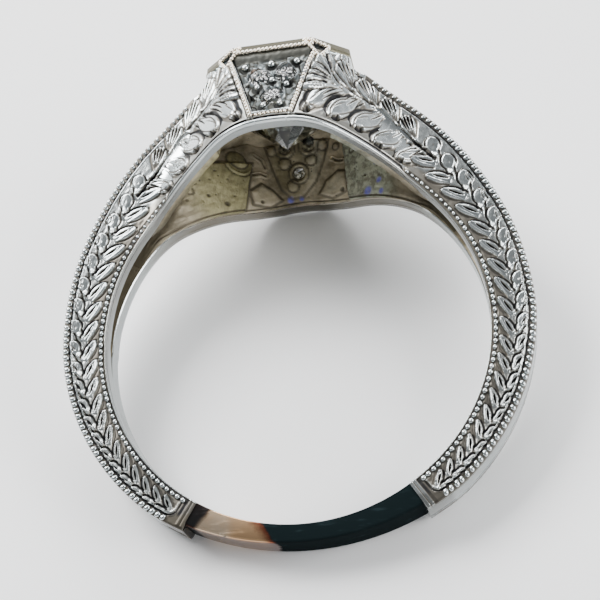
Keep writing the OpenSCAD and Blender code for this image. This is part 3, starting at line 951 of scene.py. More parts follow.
def stained_gold(f, look):
    """Metal in the recesses of the head, dull and blotched with brown; its colour is a painted shade, darker
    and bluer than the polished metal.
    """
    place = f.place()
    cloud, grain = f.noise(place, 1300.0, 4.0), f.noise(place, 7000.0)
    return f.done(f.surface({
        "Base Color": f.blend(f.step(cloud, 0.35, 0.65), look.recess_shade, look.recess_dark), "Metallic": 0.85,
        "Roughness": 0.3 + 0.25 * f.step(grain, 0.3, 0.7), "Normal": f.bump(0.6, 0.00002, grain + cloud)}))


def bright_gold(f, look, roughness, grime=True, tint=None, smoky=False):
    """Polished white gold: bright where it stands proud, dull and brown in the cuts, with fine scratches; on
    the panel floors the darkness mark also paints shade and shadows.

    Where it is smoky, the far side of the finger hole under the head is browned and painted darker as shade,
    painted shade darkens the near edge of the hole on both sides, and the lowest part of the band is painted
    darker.
    """
    place = f.place()
    cloud, grain = f.noise(place, 420.0, 4.0), f.noise(place, 9000.0)
    scratches = f.noise(f.stretched(place, (1.0, 0.12, 1.0), (0.3, 0.2, 0.6)), 14000.0, 2.0)
    bright, dull = (tint, shaded(tint, 0.85)) if tint else (look.gold, look.gold_shade)
    base = f.blend(f.step(cloud, 0.35, 0.7), bright, dull)
    rough = roughness + 0.05 * f.step(cloud, 0.4, 0.75) + 0.04 * f.step(scratches, 0.55, 0.75)
    if grime:
        # the mark is patina in the cuts; on the panel floors it also paints shade and bead shadows
        dirt_and_shade = f.mark("patina") * (0.8 + 0.4 * cloud)
        stops = ((0.0, (1, 1, 1, 1)), (0.5, rgba(look.stain)), (1.0, rgba(look.patina)))
        base = f.blend(1.0, base, f.add("ValToRGB", {"Fac": dirt_and_shade}, stops=stops), "MULTIPLY")
        rough = rough + 0.3 * dirt_and_shade
    if smoky:
        x, h, a = (part * (1 / MM) for part in f.ring_parts(place))
        from_axis = x * x + h * h
        # browning and painted shade on the far side of the hole, under the head
        smoke_and_shade = f.step(from_axis, 76.6, 75.4) * f.step(a, 0.5, -2.0) * f.step(h, 3.5, 6.5)
        # painted shade along the near edge of the hole, on both sides
        beside = f.step(from_axis, 77.6, 76.8) * f.step(a, 0.0, 1.0) * f.step(h, -3.0, 0.0)
        shade = 0.55 * beside * (f.step(x, -3.0, -6.0) + f.step(x, 2.0, 5.5))
        base = f.blend(smoke_and_shade * (0.75 + 0.4 * cloud), f.blend(shade, base, look.smoke_and_shade), look.smoke_and_shade)
        # the lowest part of the band is painted darker, more on the left
        band_end = f.step(h, -7.75, -7.95) * (0.5 + 0.5 * f.step(x, 1.0, -1.0))
        base = f.blend(band_end, base, shaded(look.smoke_and_shade, 0.4))
    height = grain + 0.5 * scratches + 0.8 * f.noise(place, 4500.0, 2.0)
    return f.done(f.surface({"Base Color": base, "Metallic": 1.0, "Roughness": rough,
                             "Normal": f.bump(0.25, 0.000012, height)}))


def reflection_painted_gold(f, look):
    """The plain stretch, coloured with painted reflections: dark at its left end, then a copper coloured
    painted reflection, and from there on an almost black painted reflection.
    """
    place = f.place()
    x, h, _ = (part * (1 / MM) for part in f.ring_parts(place))
    across, down, _ = f.ring_parts(f.normal())
    # painted dark reflection: the outer face is painted darker
    outside = f.step(across * x + down * h, 6.5, 8.5)
    waves, fine = f.noise(place, 500.0), f.noise(place, 3000.0)
    streaks = f.noise(f.stretched(place, (0.25, 1.0, 1.0)), 4000.0)
    spot = x + 1.3 * waves + 0.3 * fine + 0.75 * (h + 9.2)
    # painted reflections: an almost black one where the flat face would mirror the dark overhead, a copper
    # one before it, with a darker edge colour between them
    dark_reflection = f.step(spot, -0.75, -0.5)
    start = f.step(x + 0.6 * waves - 0.9 * (h + 7.9), -3.6, -4.0)
    dark = f.blend(f.step(streaks, 0.55, 0.85), look.dark_reflection, shaded(look.dark_reflection, 3.0))
    copper = f.blend(f.step(waves, 0.4, 0.65), look.copper, look.copper_pale)
    base = f.blend(dark_reflection, f.blend(f.step(spot, -1.35, -0.7), copper, look.reflection_edge), dark)
    base = f.blend(start, base, shaded(look.reflection_edge, 0.3))
    base = f.blend(outside * 0.8, base, shaded(look.reflection_edge, 0.4))
    base = f.blend(f.step(fine, 0.66, 0.72) * f.step(waves, 0.5, 0.6), base, look.patina)
    metal = f.surface({"Base Color": base, "Metallic": 1.0,
                       "Roughness": 0.2 + 0.12 * f.step(streaks, 0.5, 0.8)})
    # a black, almost unreflecting shader where the dark painted reflection lies
    black_reflection_shader = f.surface({"Base Color": dark, "Roughness": 0.3, "Specular IOR Level": 0.0, "IOR": 1.02},
                     distribution="GGX")
    return f.done(f.add("MixShader", {0: 0.98 * dark_reflection + 0.7 * start, 1: metal, 2: black_reflection_shader}))


def cast_gold(f, look):
    """The unpolished inside: brown, with pale olive pads, green and blue stains, clouds and pits, and painted
    shade at its lower left.
    """
    place = f.place()
    x, h, _ = (part * (1 / MM) for part in f.ring_parts(place))
    cloud, grain = f.noise(place, 700.0, 5.0, 0.6), f.noise(place, 5000.0, 4.0, 0.7)
    streaks = f.noise(f.stretched(place, (1.0, 0.2, 1.0)), 3500.0, 4.0, 0.65)
    flecks, pits = f.noise(place, 2000.0, 5.0, 0.7), f.cells(place, 2600.0)
    base = f.blend(f.step(cloud, 0.35, 0.68), look.cast_dark, look.cast)
    olive = f.blend(f.step(streaks, 0.35, 0.65), look.pad, shaded(look.pad, 0.66))
    green = f.blend(f.step(flecks, 0.44, 0.56), look.pad_green, shaded(look.pad_green, 0.42))
    base = f.blend(f.mark("pale") * (0.75 + 0.3 * cloud), base, f.blend(f.step(x, 0.0, 1.0), olive, green))
    base = f.blend(f.mark("cool") * f.step(grain, 0.2, 0.42), base, look.blue)
    base = f.blend(f.step(pits, 0.16, 0.05) * f.step(cloud, 0.45, 0.6), base, look.patina)
    base = f.blend(f.mark("patina") * 0.85, base, shaded(look.cast_dark, 0.4))
    # painted shade at the lower left of the inside
    shade_low_left = f.step(h, 6.4, 5.0) * f.step(x, 1.0, -1.0)
    return f.done(f.surface({
        "Base Color": f.blend(shade_low_left * 0.85, base, shaded(look.cast_dark, 0.6)), "Metallic": 0.3,
        "Specular IOR Level": 0.25, "Roughness": 0.34 + 0.3 * f.step(grain, 0.3, 0.7),
        "Normal": f.bump(0.8, 0.00003, grain + 0.8 * f.step(pits, 0.0, 0.25))}))


def diamond(f, look, painted_reflection_colour, broken):
    """A clear stone tinted dark brown by a painted reflection of the metal, darkest on the faces that look
    into the ring.

    A broken one spreads its reflections over many small faces, as old small stones do.
    """
    place = f.place()
    cloud = f.noise(place, 1500.0)
    _, up, out = f.ring_parts(f.normal())
    if broken:
        bump, specular, painted_reflection_share = f.bump(0.64, 0.000104, f.cells(place, 5200.0)), 0.5, 0.25
        behind = f.step(f.ring_parts(place)[2] * out, 0.0, -0.0005)
    else:
        bump, specular, painted_reflection_share = f.bump(0.04, 0.000004, cloud), 0.35, 0.13
        behind = f.step(up, -0.1, -0.3)
    # painted reflection of the brown metal, darker on the faces turned into the ring
    painted_reflection = f.blend(behind, painted_reflection_colour, shaded(look.painted_reflection, painted_reflection_share))
    return f.done(f.surface({
        "Base Color": f.blend(f.step(cloud, 0.68, 0.6), look.stone, painted_reflection), "IOR": 2.0,
        "Roughness": 0.005 + 0.03 * f.step(cloud, 0.5, 0.8), "Specular IOR Level": specular,
        "Transmission Weight": 1.0, "Normal": bump}))


def metals(*names):
    """The metal's finishes of these names, each made when it is first asked for."""
    look, made = bpy.context.scene.ring_look, bpy.data.materials
    recipes = {
        "engraved_white_gold": (bright_gold, {"roughness": 0.2, "smoky": True}),
        "polished_white_gold": (bright_gold, {"roughness": 0.13, "grime": False}),
        # a darker copy of the polished gold inside the finger hole: painted shade
        "finger_hole_white_gold": (bright_gold, {"roughness": 0.18, "grime": False, "smoky": True,
                                                 "tint": shaded(look.gold, 0.84)}),
        # the panel floors: a painted shade of the polished gold
        "recess_white_gold": (bright_gold, {"roughness": 0.34, "tint": look.recess_shade}),
        "worn_white_gold": (bright_gold, {"roughness": 0.42, "grime": False, "tint": look.worn}),
        "dark_lip_white_gold": (bright_gold, {"roughness": 0.5, "grime": False,
                                              "tint": shaded(look.worn, 0.4)}),
        "cream_white_gold": (bright_gold, {"roughness": 0.16, "grime": False, "tint": look.cream}),
        "tarnished_plain_stretch": (reflection_painted_gold, {}),
        "as_cast_white_gold": (cast_gold, {}),
        "stained_white_gold": (stained_gold, {}),
    }
    for name in names:
        if name not in made:
            make, settings = recipes[name]
            make(Finish(made.new(name)), look, **settings)
    return [made[name] for name in names]


# Settings that a user would change

def colour(name, description, default):
    return FloatVectorProperty(name=name, description=description, default=default,
                               subtype="COLOR", min=0, max=1)


class RING_PG_engraving(bpy.types.PropertyGroup):
    """Sizes of the hand engraving and the milgrain"""
    bead_pitch: FloatProperty(name="Milgrain Pitch",
                              description="Distance from one milgrain bead to the next",
                              default=0.29 * MM, min=0.15 * MM, max=0.6 * MM, unit="LENGTH", precision=6)
    station_step: FloatProperty(name="Mesh Step",
                                description="Distance between the mesh's rows along the band",
                                default=0.034 * MM, min=0.02 * MM, max=0.2 * MM, unit="LENGTH", precision=6)
    seed: IntProperty(name="Hand", description="Seed of the small differences from leaf to leaf",
                      default=7, min=0)


class RING_PG_look(bpy.types.PropertyGroup):
    """Colours of the metal and the stones"""
    gold: colour("Gold", "Colour of the polished white gold", (0.66, 0.70, 0.70))
    gold_shade: colour("Gold Shade", "Colour of the white gold where it is worn dull", (0.54, 0.58, 0.585))
    stain: colour("Stain", "Colour of the tarnished ground between the leaves", (0.36, 0.31, 0.26))
    # the darkest colour of the cuts, also of the painted shade and shadows on the panel floors
    patina: colour("Patina", "Colour at the bottom of the cuts", (0.035, 0.033, 0.035))
    cream: colour("Border Milgrain", "Colour of the milgrain round the side panels", (0.88, 0.80, 0.68))
    # the side panels' floors, darker and bluer than the polished gold: painted shade
    recess_shade: colour("Recess", "Colour of the floor of the side panels", (0.31, 0.36, 0.38))
    recess_dark: colour("Recess Stain", "Colour of the stains in the side panels", (0.12, 0.09, 0.07))
    cast: colour("As Cast", "Colour of the unpolished inside", (0.62, 0.54, 0.39))
    cast_dark: colour("As Cast Dark", "Darker colour of the unpolished inside", (0.20, 0.17, 0.11))
    pad: colour("Pad", "Colour of the pale pad inside the left shoulder", (0.41, 0.375, 0.20))
    pad_green: colour("Green Pad", "Colour of the mottled pad inside the right shoulder", (0.50, 0.54, 0.43))
    blue: colour("Blue Stain", "Colour of the blue stains inside", (0.22, 0.22, 0.62))
    # browning and painted shade inside the finger hole
    smoke_and_shade: colour("Smoke", "Colour of the browned metal on the far side of the hole", (0.20, 0.18, 0.145))
    worn: colour("Worn Lip", "Colour of the worn top of the head's rim", (0.15, 0.138, 0.095))
    # the plain stretch's colours are painted reflections: a near black one, a copper one, and the edge
    # between them
    dark_reflection: colour("Dark Tarnish", "Colour of the dark part of the plain stretch", (0.006, 0.010, 0.011))
    copper: colour("Copper", "Colour of the copper part of the plain stretch", (0.74, 0.47, 0.26))
    copper_pale: colour("Pale Copper", "Paler colour of the copper part", (0.78, 0.62, 0.45))
    reflection_edge: colour("Rust", "Colour between the copper and the dark part", (0.22, 0.07, 0.04))
    stone: colour("Stone", "Tint of the stones", (0.93, 0.96, 1.0))
    # tints of the stones: a painted reflection of the brown metal
    painted_reflection: colour("Film", "Tint of the film behind the stones and on the centre stone", (0.12, 0.11, 0.07))
    small_stones_painted_reflection: colour("Small Stones", "Tint of the film over the small stones", (0.12, 0.15, 0.16))


class RING_PG_studio(bpy.types.PropertyGroup):
    """Floor, lights and camera"""
    floor: colour("Floor", "Colour of the floor", (0.97, 0.97, 0.97))
    light: FloatProperty(name="Light", description="Strength of the soft light", default=1.0, min=0, max=10)
    lens: FloatProperty(name="Lens", description="Focal length of the camera", default=80.1, min=20, max=300,
                        unit="CAMERA")


# Pieces

def seat_radius(h):
    """Radius of the cone that the centre stone's lower part sits in."""
    return (h - CULET_H) * SEAT_R / (GIRDLE_H - CULET_H)


def seat_solid(grow=0.02, low=11.2, high=14.5, sides=96):
    """The centre stone's seat, from below the roof up past the rim, turned about the head's middle line."""
    profile = ((seat_radius(low) + grow, low), (SEAT_R + grow, GIRDLE_H - 0.02), (SEAT_R + grow, high))
    turns = np.linspace(0, 2 * np.pi, sides, endpoint=False)
    points = [[r * math.cos(t), h, r * math.sin(t)] for r, h in profile for t in turns]
    return join([(np.array(points), tube_faces(len(profile), sides))])


def on_panel(x, h, lift, facing):
    """A place over the floor of a side panel."""
    return (np.array([x, h, panel_floor(x, h)]) + unit((0, LEAN, 1)) * lift) * (1, 1, facing)


def join(parts):
    """Several closed solids as one set of points and faces."""
    points, faces, count = [], [], 0
    for p, f in parts:
        points.append(p)
        faces += [[i + count for i in q] for q in turned_out(p, f)]
        count += len(p)
    return np.concatenate(points), faces


def panel_solids():
    """The recesses of the two side panels."""
    low, top = PANEL_LOW_HALF, PANEL_TOP_HALF
    outline = ((-low, PANEL_LOW), (low, PANEL_LOW), (top, PANEL_TOP), (-top, PANEL_TOP))
    return join([(np.array([on_panel(x, h, lift, facing) for lift in (0, 1.0) for x, h in outline]),
                  block_faces(4)) for _, facing in FACINGS])


def corner_solids():
    """The small three-sided recesses in the corners beside the panels."""
    return join([(np.array([(x * hand, h, (side(x, h) + lift) * facing)
                            for lift in (-0.12, 0.4) for x, h in CORNER_RECESS]), block_faces(3))
                 for _, hand, facing in QUARTERS])


def small_seat_solids(back=0.4, sides=32):
    """The stepped holes that the small stones sit in, with the radius of their back part."""
    parts, along, turns = [], np.array([1.0, 0, 0]), np.linspace(0, 2 * np.pi, sides, endpoint=False)
    profile = ((back, -1.2), (back, -0.2), (0.57, -0.14), (0.57, 0.3))
    for _, facing in FACINGS:
        across = np.cross(unit((0, LEAN, 1)) * (1, 1, facing), along)
        for x, h in PANEL_STONES:
            points = [on_panel(x, h, lift, facing) + radius * (math.cos(t) * along + math.sin(t) * across)
                      for radius, lift in profile for t in turns]
            parts.append((np.array(points), tube_faces(len(profile), sides)))
    return join(parts)


def core_section(st):
    """Half of the core's cross section by station: distances from the hole, half widths, what is as cast."""
    length, hole = st.length, np.zeros_like(st.length)
    sink = mix(0.12, 0.3, smooth_step((np.abs(st.angles) - PANEL_EDGE) / 1.5))
    section = []

    def put(distance, width, is_cast=0):
        distance, width = (np.broadcast_to(v, length.shape).astype(float) for v in (distance, width))
        section.append((distance, width, is_cast))

    def put_hollow(distance):
        put(distance, np.clip(hollow(*st.at(distance)), LEAST_HALF, None), 1)

    # the outer surface, rounded at its edge, and the side behind the engraving
    edge, edge_round = side(*st.at(length)) - sink, 0.03
    for t in np.linspace(0, 1, 8):
        put(length - edge_round * t * t, (edge - edge_round) * t)
    put(length - 0.05, edge)
    for t in np.linspace(1, 0, 14):
        distance = mix(0.06, length - 0.12, t)
        put(distance, side(*st.at(distance)) - sink)

    # the finger hole, as far as the gallery's opening
    foot = side(*st.at(hole)) - sink
    opening = np.clip(hollow(*st.at(hole)), LEAST_HALF, None)
    fade = smooth_step(opening / 0.12)
    rim, top = 0.04 * fade, LEAST_HALF + st.reach(roof_room) * fade
    put(0.0, foot)
    for t in (0.25, 0.5, 0.75, 1.0):
        put(0.0, mix(foot, opening + rim, t))

    # the gallery's wall and roof
    start = np.minimum(rim, top * 0.5)
    put(start, np.clip(hollow(*st.at(rim)), LEAST_HALF, None), 1)
    for t in np.linspace(0.1, 1, 12):
        put_hollow(mix(start, top, t))
    wide = section[-1][1]
    for t in (0.75, 0.5, 0.25, 0.0):
        put(top, wide * t, 1)
    distances, widths, is_cast = zip(*section)
    return np.array(distances).T, np.array(widths).T, np.array(is_cast)


def carve(piece, *cuts):
    """Cuts solids out of a piece. The cut faces take the material at the index given with each solid."""
    cutters = []
    for (points, faces), index in cuts:
        cutter = new_piece("cutter", points, faces, list(piece.data.materials),
                           material_of=[index] * len(faces))
        step = piece.modifiers.new("carve", "BOOLEAN")
        step.object, step.operation, step.solver = cutter, "DIFFERENCE", "EXACT"
        cutters.append(cutter)
    bpy.context.view_layer.update()
    carved = bpy.data.meshes.new_from_object(piece.evaluated_get(bpy.context.evaluated_depsgraph_get()))
    if not carved.polygons:
        raise RuntimeError("Nothing is left of " + piece.name + " after its cuts")
    piece.modifiers.clear()
    piece.data = carved
    for cutter in cutters:
        bpy.data.objects.remove(cutter)


def make_core():
    """The metal behind the engraving: outer surface, finger hole, gallery and the walls between them."""
    st = Stations(spaced(-BAND_END, BAND_END, 0.5), top=12.5)
    v, a, is_cast = core_section(st)
    near = np.stack([*st.at(v), a], -1)
    loop = np.concatenate([near, near[:, -2:0:-1] * (1, 1, -1)], 1)
    rows, cols = loop.shape[:2]
    is_cast = np.concatenate([is_cast, is_cast[-2:0:-1]])
    walls = (is_cast & np.roll(is_cast, -1)).tolist()
    core = new_piece("ring_core", loop.reshape(-1, 3), tube_faces(rows, cols),
                     metals("finger_hole_white_gold", "as_cast_white_gold", "stained_white_gold"),
                     material_of=walls * (rows - 1) + [0, 0])
    carve(core, (seat_solid(), 0), (panel_solids(), 2), (small_seat_solids(), 2))
    core.data.set_sharp_from_angle(angle=math.radians(32))
    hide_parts("ring_body")


def make_plain_stretch():
    """The polished stretch at the bottom, with rounded edges."""
    rise = PLAIN_R - HOLE_R - PLAIN_T
    outer_round, inner_round = 0.14, 0.06
    loops = []
    for t in np.radians(spaced(-PLAIN_ANGLE - 0.6, PLAIN_ANGLE + 0.6, 0.6)):
        s, c = math.sin(t), math.cos(t)
        outer = -rise * c + math.sqrt(PLAIN_R ** 2 - (rise * s) ** 2)
        outline = []
        for r, rounding, turns in ((outer - outer_round, outer_round, np.linspace(0, 90, 9)),
                                   (HOLE_R + inner_round, inner_round, np.linspace(90, 180, 5))):
            outline += [(r + rounding * math.cos(k), PLAIN_HALF - rounding + rounding * math.sin(k))
                        for k in np.radians(turns)]
        outline += [(r, -a) for r, a in outline[::-1]]
        loops.append([(r * s, -r * c, a) for r, a in outline])
    rows, cols = len(loops), len(loops[0])
    new_piece("plain_stretch", np.array(loops).reshape(-1, 3), tube_faces(rows, cols),
              metals("tarnished_plain_stretch"), sharp=40)


def octagon(h, t, proud=0.0):
    """Distance from the head's middle line to its eight-sided outline at a height and a direction."""
    c, s = abs(math.cos(t)), abs(math.sin(t))
    flat_side = (HEAD_HALF_W + proud) / max(c, 1e-6)
    flat_near = (head_face(h) + proud) / max(s, 1e-6)
    corner = (shoulder_face(0, h) + proud * 1.36) / (s + SHOULDER_TAPER * c)
    return min(flat_side, flat_near, corner)


def octagon_loop(h, turns, proud):
    return [(octagon(h, t, proud) * math.cos(t), h, octagon(h, t, proud) * math.sin(t)) for t in turns]


def octagon_turns(count):
    """Directions round the head, with one at each of the outline's corners."""
    crease = (SHOULDER_REACH - LEAN * HEAD_TOP - head_face(HEAD_TOP)) / SHOULDER_TAPER
    near = math.atan2(head_face(HEAD_TOP), crease)
    sides = math.atan2(shoulder_face(HEAD_HALF_W, HEAD_TOP), HEAD_HALF_W)
    corners = [sides, near, math.pi - near, math.pi - sides]
    corners += [t + math.pi for t in corners]
    turns = []
    for p, q in zip(corners, corners[1:] + [corners[0] + 2 * math.pi]):
        turns += list(np.linspace(p, q, max(int(count * (q - p) / (2 * math.pi)), 3), endpoint=False))
    return turns


def make_head_block():
    """The eight-sided rim round the centre stone, with its cream border, its worn lip and the seat."""
    turns = octagon_turns(120)
    polished, stained, cream, worn, lip = range(5)
    # height, how far it stands proud, and the finish of the face above it
    profile = ((HEAD_LOW, -0.03, polished), (BORDER_LOW - 0.03, -0.03, polished), (BORDER_LOW, 0.02, cream),
               (BORDER_LOW + 0.05, 0.05, cream), (BORDER_HIGH - 0.05, 0.05, cream), (BORDER_HIGH, -0.02, lip),
               (BORDER_HIGH + 0.04, 0.02, lip), (HEAD_TOP - 0.05, -0.01, lip), (HEAD_TOP, -0.07, worn))
    # radius and height of the seat, from the top down
    seat = ((SEAT_R + 0.1, HEAD_TOP), (SEAT_R + 0.03, HEAD_TOP - 0.03), (SEAT_R, HEAD_TOP - 0.1),
            (SEAT_R, GIRDLE_H - 0.02), (seat_radius(HEAD_LOW), HEAD_LOW))
    loops = [octagon_loop(h, turns, proud) for h, proud, _ in profile]
    loops += [[(r * math.cos(t), h, r * math.sin(t)) for t in turns] for r, h in seat]
    beyond = [abs(octagon(BORDER_LOW, t) * math.cos(t)) > BORDER_HALF for t in turns]
    material_of = [worn if out and kind in (cream, lip) else kind for *_, kind in profile for out in beyond]
    material_of += [polished] * (len(seat) * len(turns))
    rim = new_piece("head_rim", np.array(loops).reshape(-1, 3),
                    grid_faces(len(loops), len(turns), closed_rows=True, closed_cols=True),
                    metals("polished_white_gold", "stained_white_gold", "cream_white_gold", "worn_white_gold",
                           "dark_lip_white_gold"), material_of=material_of)
    carve(rim, (panel_solids(), stained), (corner_solids(), stained))
    rim.data.set_sharp_from_angle(angle=math.radians(30))


def bead_shape(rings, segments):
    """A round bead of radius one: points and faces."""
    turns = np.linspace(0, 2 * math.pi, segments, endpoint=False)
    points = [(0, 0, 1.0)]
    for t in (math.pi * i / rings for i in range(1, rings)):
        points += [(math.sin(t) * math.cos(p), math.sin(t) * math.sin(p), math.cos(t)) for p in turns]
    points.append((0, 0, -1.0))
    last, end = 1 + (rings - 2) * segments, len(points) - 1
    pairs = [(j, (j + 1) % segments) for j in range(segments)]
    faces = [[0, 1 + j, 1 + k] for j, k in pairs]
    for a in range(1, last, segments):
        b = a + segments
        faces += [[a + j, b + j, b + k, a + k] for j, k in pairs]
    faces += [[last + j, end, last + k] for j, k in pairs]
    return np.array(points), faces


def string_beads(name, beads, finish, rings=5, segments=9):
    """Many beads as one mesh. Each bead is its middle and its three half axes, as rows."""
    shape, faces = bead_shape(rings, segments)
    points, all_faces = [], []
    for middle, axes in beads:
        if np.linalg.det(axes) < 0:
            axes = axes * np.array([[-1], [1], [1]])
        all_faces += [[i + len(points) * len(shape) for i in f] for f in faces]
        points.append(middle + shape @ axes)
    new_piece(name, np.concatenate(points), all_faces, metals(finish))


def milgrain_row(st, distance, pitch, size, slant, lift, random, small_to):
    """Beads along the side face at a distance from the hole: half sizes along, across and out of the face.

    They are smaller up to the angle small_to.
    """
    x, h = st.at(distance)
    n = face_normal(side, x, h)
    p = np.stack([x, h, side(x, h)], -1)
    run = run_along(p)
    c, s = math.cos(slant), math.sin(slant)
    beads = []
    for place in np.arange(pitch / 2, run[-1], pitch):
        place += random.uniform(-0.06, 0.06) * pitch
        i = int(np.clip(np.searchsorted(run, place), 1, len(run) - 1))
        t = (place - run[i - 1]) / (run[i] - run[i - 1])
        middle, out, along = mix(p[i - 1], p[i], t), unit(mix(n[i - 1], n[i], t)), unit(p[i] - p[i - 1])
        across = np.cross(out, along)
        grow = 1 + random.uniform(-0.08, 0.08) - 0.3 * smooth_step((small_to - st.angles[i]) / 16)
        axes = np.array([along * c + across * s, across * c - along * s, out])
        beads.append((middle + out * lift, axes * np.array(size)[:, None] * grow))
    return beads


def rows_on_side(path, pitch, size, lift, random):
    """Beads along a line of x and h places on the side face."""
    path = np.asarray(path, float)
    run = run_along(path)
    count = max(int(round(run[-1] / pitch)), 1)
    beads = []
    for s in (np.arange(count) + 0.5) * run[-1] / count:
        x, h = (np.interp(s, run, path[:, i]) for i in (0, 1))
        middle = np.array([x, h, side(x, h)]) + face_normal(side, x, h) * lift
        beads.append((middle, np.eye(3) * size * (1 + random.uniform(-0.1, 0.1))))
    return beads


def border_beads(random, size=0.115, pitch=0.19):
    """A row of small beads along the near and far borders of the head."""
    loop = np.array(octagon_loop((BORDER_LOW + BORDER_HIGH) / 2, np.linspace(0, 2 * np.pi, 721), 0.05))
    run = run_along(loop)
    beads = []
    for s in np.arange(0, run[-1], pitch):
        middle = np.array([np.interp(s, run, loop[:, i]) for i in range(3)])
        if abs(middle[0]) < BORDER_HALF:
            beads.append((middle, np.eye(3) * size * (1 + random.uniform(-0.1, 0.1))))
    return beads


def mirrored(beads, hand, facing):
    turn = np.array([hand, 1, facing])
    return [(middle * turn, axes * turn) for middle, axes in beads]


class RING_OT_core(bpy.types.Operator):
    """Build the metal core with its gallery, the head's rim and the plain stretch"""
    bl_idname = "ring.core"
    bl_label = "Metal Core"

    def execute(self, context):
        make_core()
        make_head_block()
        make_plain_stretch()
        return {"FINISHED"}


class RING_OT_engraving(bpy.types.Operator):
    """Engrave the four side faces with their rows of leaves, and the sills under the panels"""
    bl_idname = "ring.engraving"
    bl_label = "Engraving"

    def execute(self, context):
        cut, finish = context.scene.ring_engraving, metals("engraved_white_gold")
        coarse = Stations(spaced(PANEL_EDGE, BAND_END - 0.15, 0.25), top=FIELD_TOP)
        run = run_along(np.stack(coarse.at(0.5 * coarse.length), 1))
        st = Stations(np.interp(spaced(0, run[-1], cut.station_step / MM), run, coarse.angles), top=FIELD_TOP)
        across = across_rows(st.length)
        x, h = st.at(across)
        for k, (name, hand, facing) in enumerate(QUARTERS):
            relief = Relief(x, h, cut.seed + k, st.angles)
            engrave(relief, st.length, across, 0.12 if hand > 0 else 0.85)
            slab("engraving_" + name, x, h, side, relief.height, hand, facing, finish,
                 {"patina": relief.dark})

        sill = Stations(spaced(-PANEL_EDGE - 0.05, PANEL_EDGE + 0.05, 0.2), top=PANEL_LOW)
        length = (PANEL_LOW + 0.01 - sill.foot[:, 1]) / sill.out[:, 1]
        across = length[:, None] * np.linspace(0.006, 0.994, 30)
        x, h = sill.at(across)
        groove = tent(across - LIP_GROOVE, LIP_GROOVE_HALF)
        bed = smooth_step((0.12 - np.abs(across - 0.45)) / 0.03)
        height = 0.02 - 0.12 * groove - 0.07 * bed - np.maximum(0.05 - across, 0)
        dark = np.maximum(smooth_step(2.2 * groove), 0.9 * bed)
        for name, facing in FACINGS:
            slab("sill_" + name, x, h, side, height, 1, facing, finish, {"patina": dark})
        return {"FINISHED"}


class RING_OT_gallery(bpy.types.Operator):
    """Model the unpolished walls inside, with their pads, bumps and pits"""
    bl_idname = "ring.gallery"
    bl_label = "Gallery Walls"

    def execute(self, context):
        st = Stations(spaced(-58, 58, 0.33), top=HEAD_TOP)
        across = mix(0.1, st.reach(roof_room)[:, None] - 0.02, np.linspace(0, 1, 86))
        x, h = st.at(across)
        fade = smooth_step((57.5 - np.abs(st.angles)) / 12)[:, None]
        for k, (name, facing) in enumerate(FACINGS):
            relief = Relief(x, h, 40 + k)
            marks = cast_inside(relief, across)
            height = mix(0.003, np.maximum(relief.height, 0.012), fade)
            wall = slab("gallery_wall_" + name, x, h, hollow, height, 1, facing,
                        metals("as_cast_white_gold") * 2, marks, inward=True, back=0.2)
            carve(wall, (small_seat_solids(0.3), 1))
        return {"FINISHED"}


class RING_OT_milgrain(bpy.types.Operator):
    """Set the rows of milgrain beads along the edges"""
    bl_idname = "ring.milgrain"
    bl_label = "Milgrain"

    def execute(self, context):
        cut = context.scene.ring_engraving
        pitch, random = cut.bead_pitch / MM, np.random.default_rng(cut.seed)
        inner, outer = (Stations(spaced(first, BAND_END - gap, 0.25), top=FIELD_TOP)
                        for first, gap in ((39, 2.4), (22, 4.2)))
        for name, hand, facing in QUARTERS:
            beads = milgrain_row(inner, np.full(len(inner.angles), INNER_BED), pitch, (0.13, 0.115, 0.1),
                                 0.0, -0.035, random, small_to=68)
            beads += milgrain_row(outer, outer.length - 0.15, pitch, (0.115, 0.165, 0.09),
                                  -0.5 * hand * facing, -0.03, random, small_to=50)
            string_beads("milgrain_" + name, mirrored(beads, hand, facing), "polished_white_gold")
        return {"FINISHED"}


class RING_OT_panels(bpy.types.Operator):
    """Cut the side panels' floors, and set the beads on them and the cream milgrain round them"""
    bl_idname = "ring.panels"
    bl_label = "Side Panels"

    def execute(self, context):
        h = np.repeat(np.linspace(PANEL_LOW + 0.01, PANEL_TOP - 0.01, 96)[:, None], 88, 1)
        half = mix(PANEL_LOW_HALF, PANEL_TOP_HALF, (h - PANEL_LOW) / (PANEL_TOP - PANEL_LOW)) - 0.01
        x = half * np.linspace(-1, 1, 88)
        for k, (name, facing) in enumerate(FACINGS):
            relief = Relief(x, h, 60 + k)
            bright_cut(relief)
            floor = slab("panel_floor_" + name, x, h, panel_floor, np.maximum(relief.height, 0.008), 1,
                         facing, metals("recess_white_gold", "stained_white_gold"),
                         {"patina": relief.dark}, back=0.15)
            carve(floor, (small_seat_solids(), 1))
            beads = [(on_panel(bead_x, bead_h, 0.05, facing) + (0, 0.02, 0),
                      np.eye(3) * (0.18 if bead_h > 12 else 0.155)) for bead_x, bead_h in PANEL_BEADS]
            string_beads("panel_beads_" + name, beads, "polished_white_gold", rings=10, segments=18)

        # beside the panel, round the corner recess and along the sill: path, pitch, size and lift
        rows = (([(x + 0.13, h) for x, h in PANEL_SIDE], 0.2, 0.12, 0.03),
                (((1.48, 13.56), (2.6, 13.3), (2.16, 12.48), (1.48, 13.56)), 0.17, 0.11, 0.03),
                (((0.0, PANEL_LOW - 0.14), (0.75, PANEL_LOW - 0.2)), 0.2, 0.09, -0.01))
        random = np.random.default_rng(3)
        for name, hand, facing in QUARTERS:
            beads = [bead for row in rows for bead in rows_on_side(*row, random)]
            string_beads("panel_milgrain_" + name, mirrored(beads, hand, facing), "cream_white_gold")
        string_beads("border_milgrain", border_beads(random), "cream_white_gold")
        return {"FINISHED"}


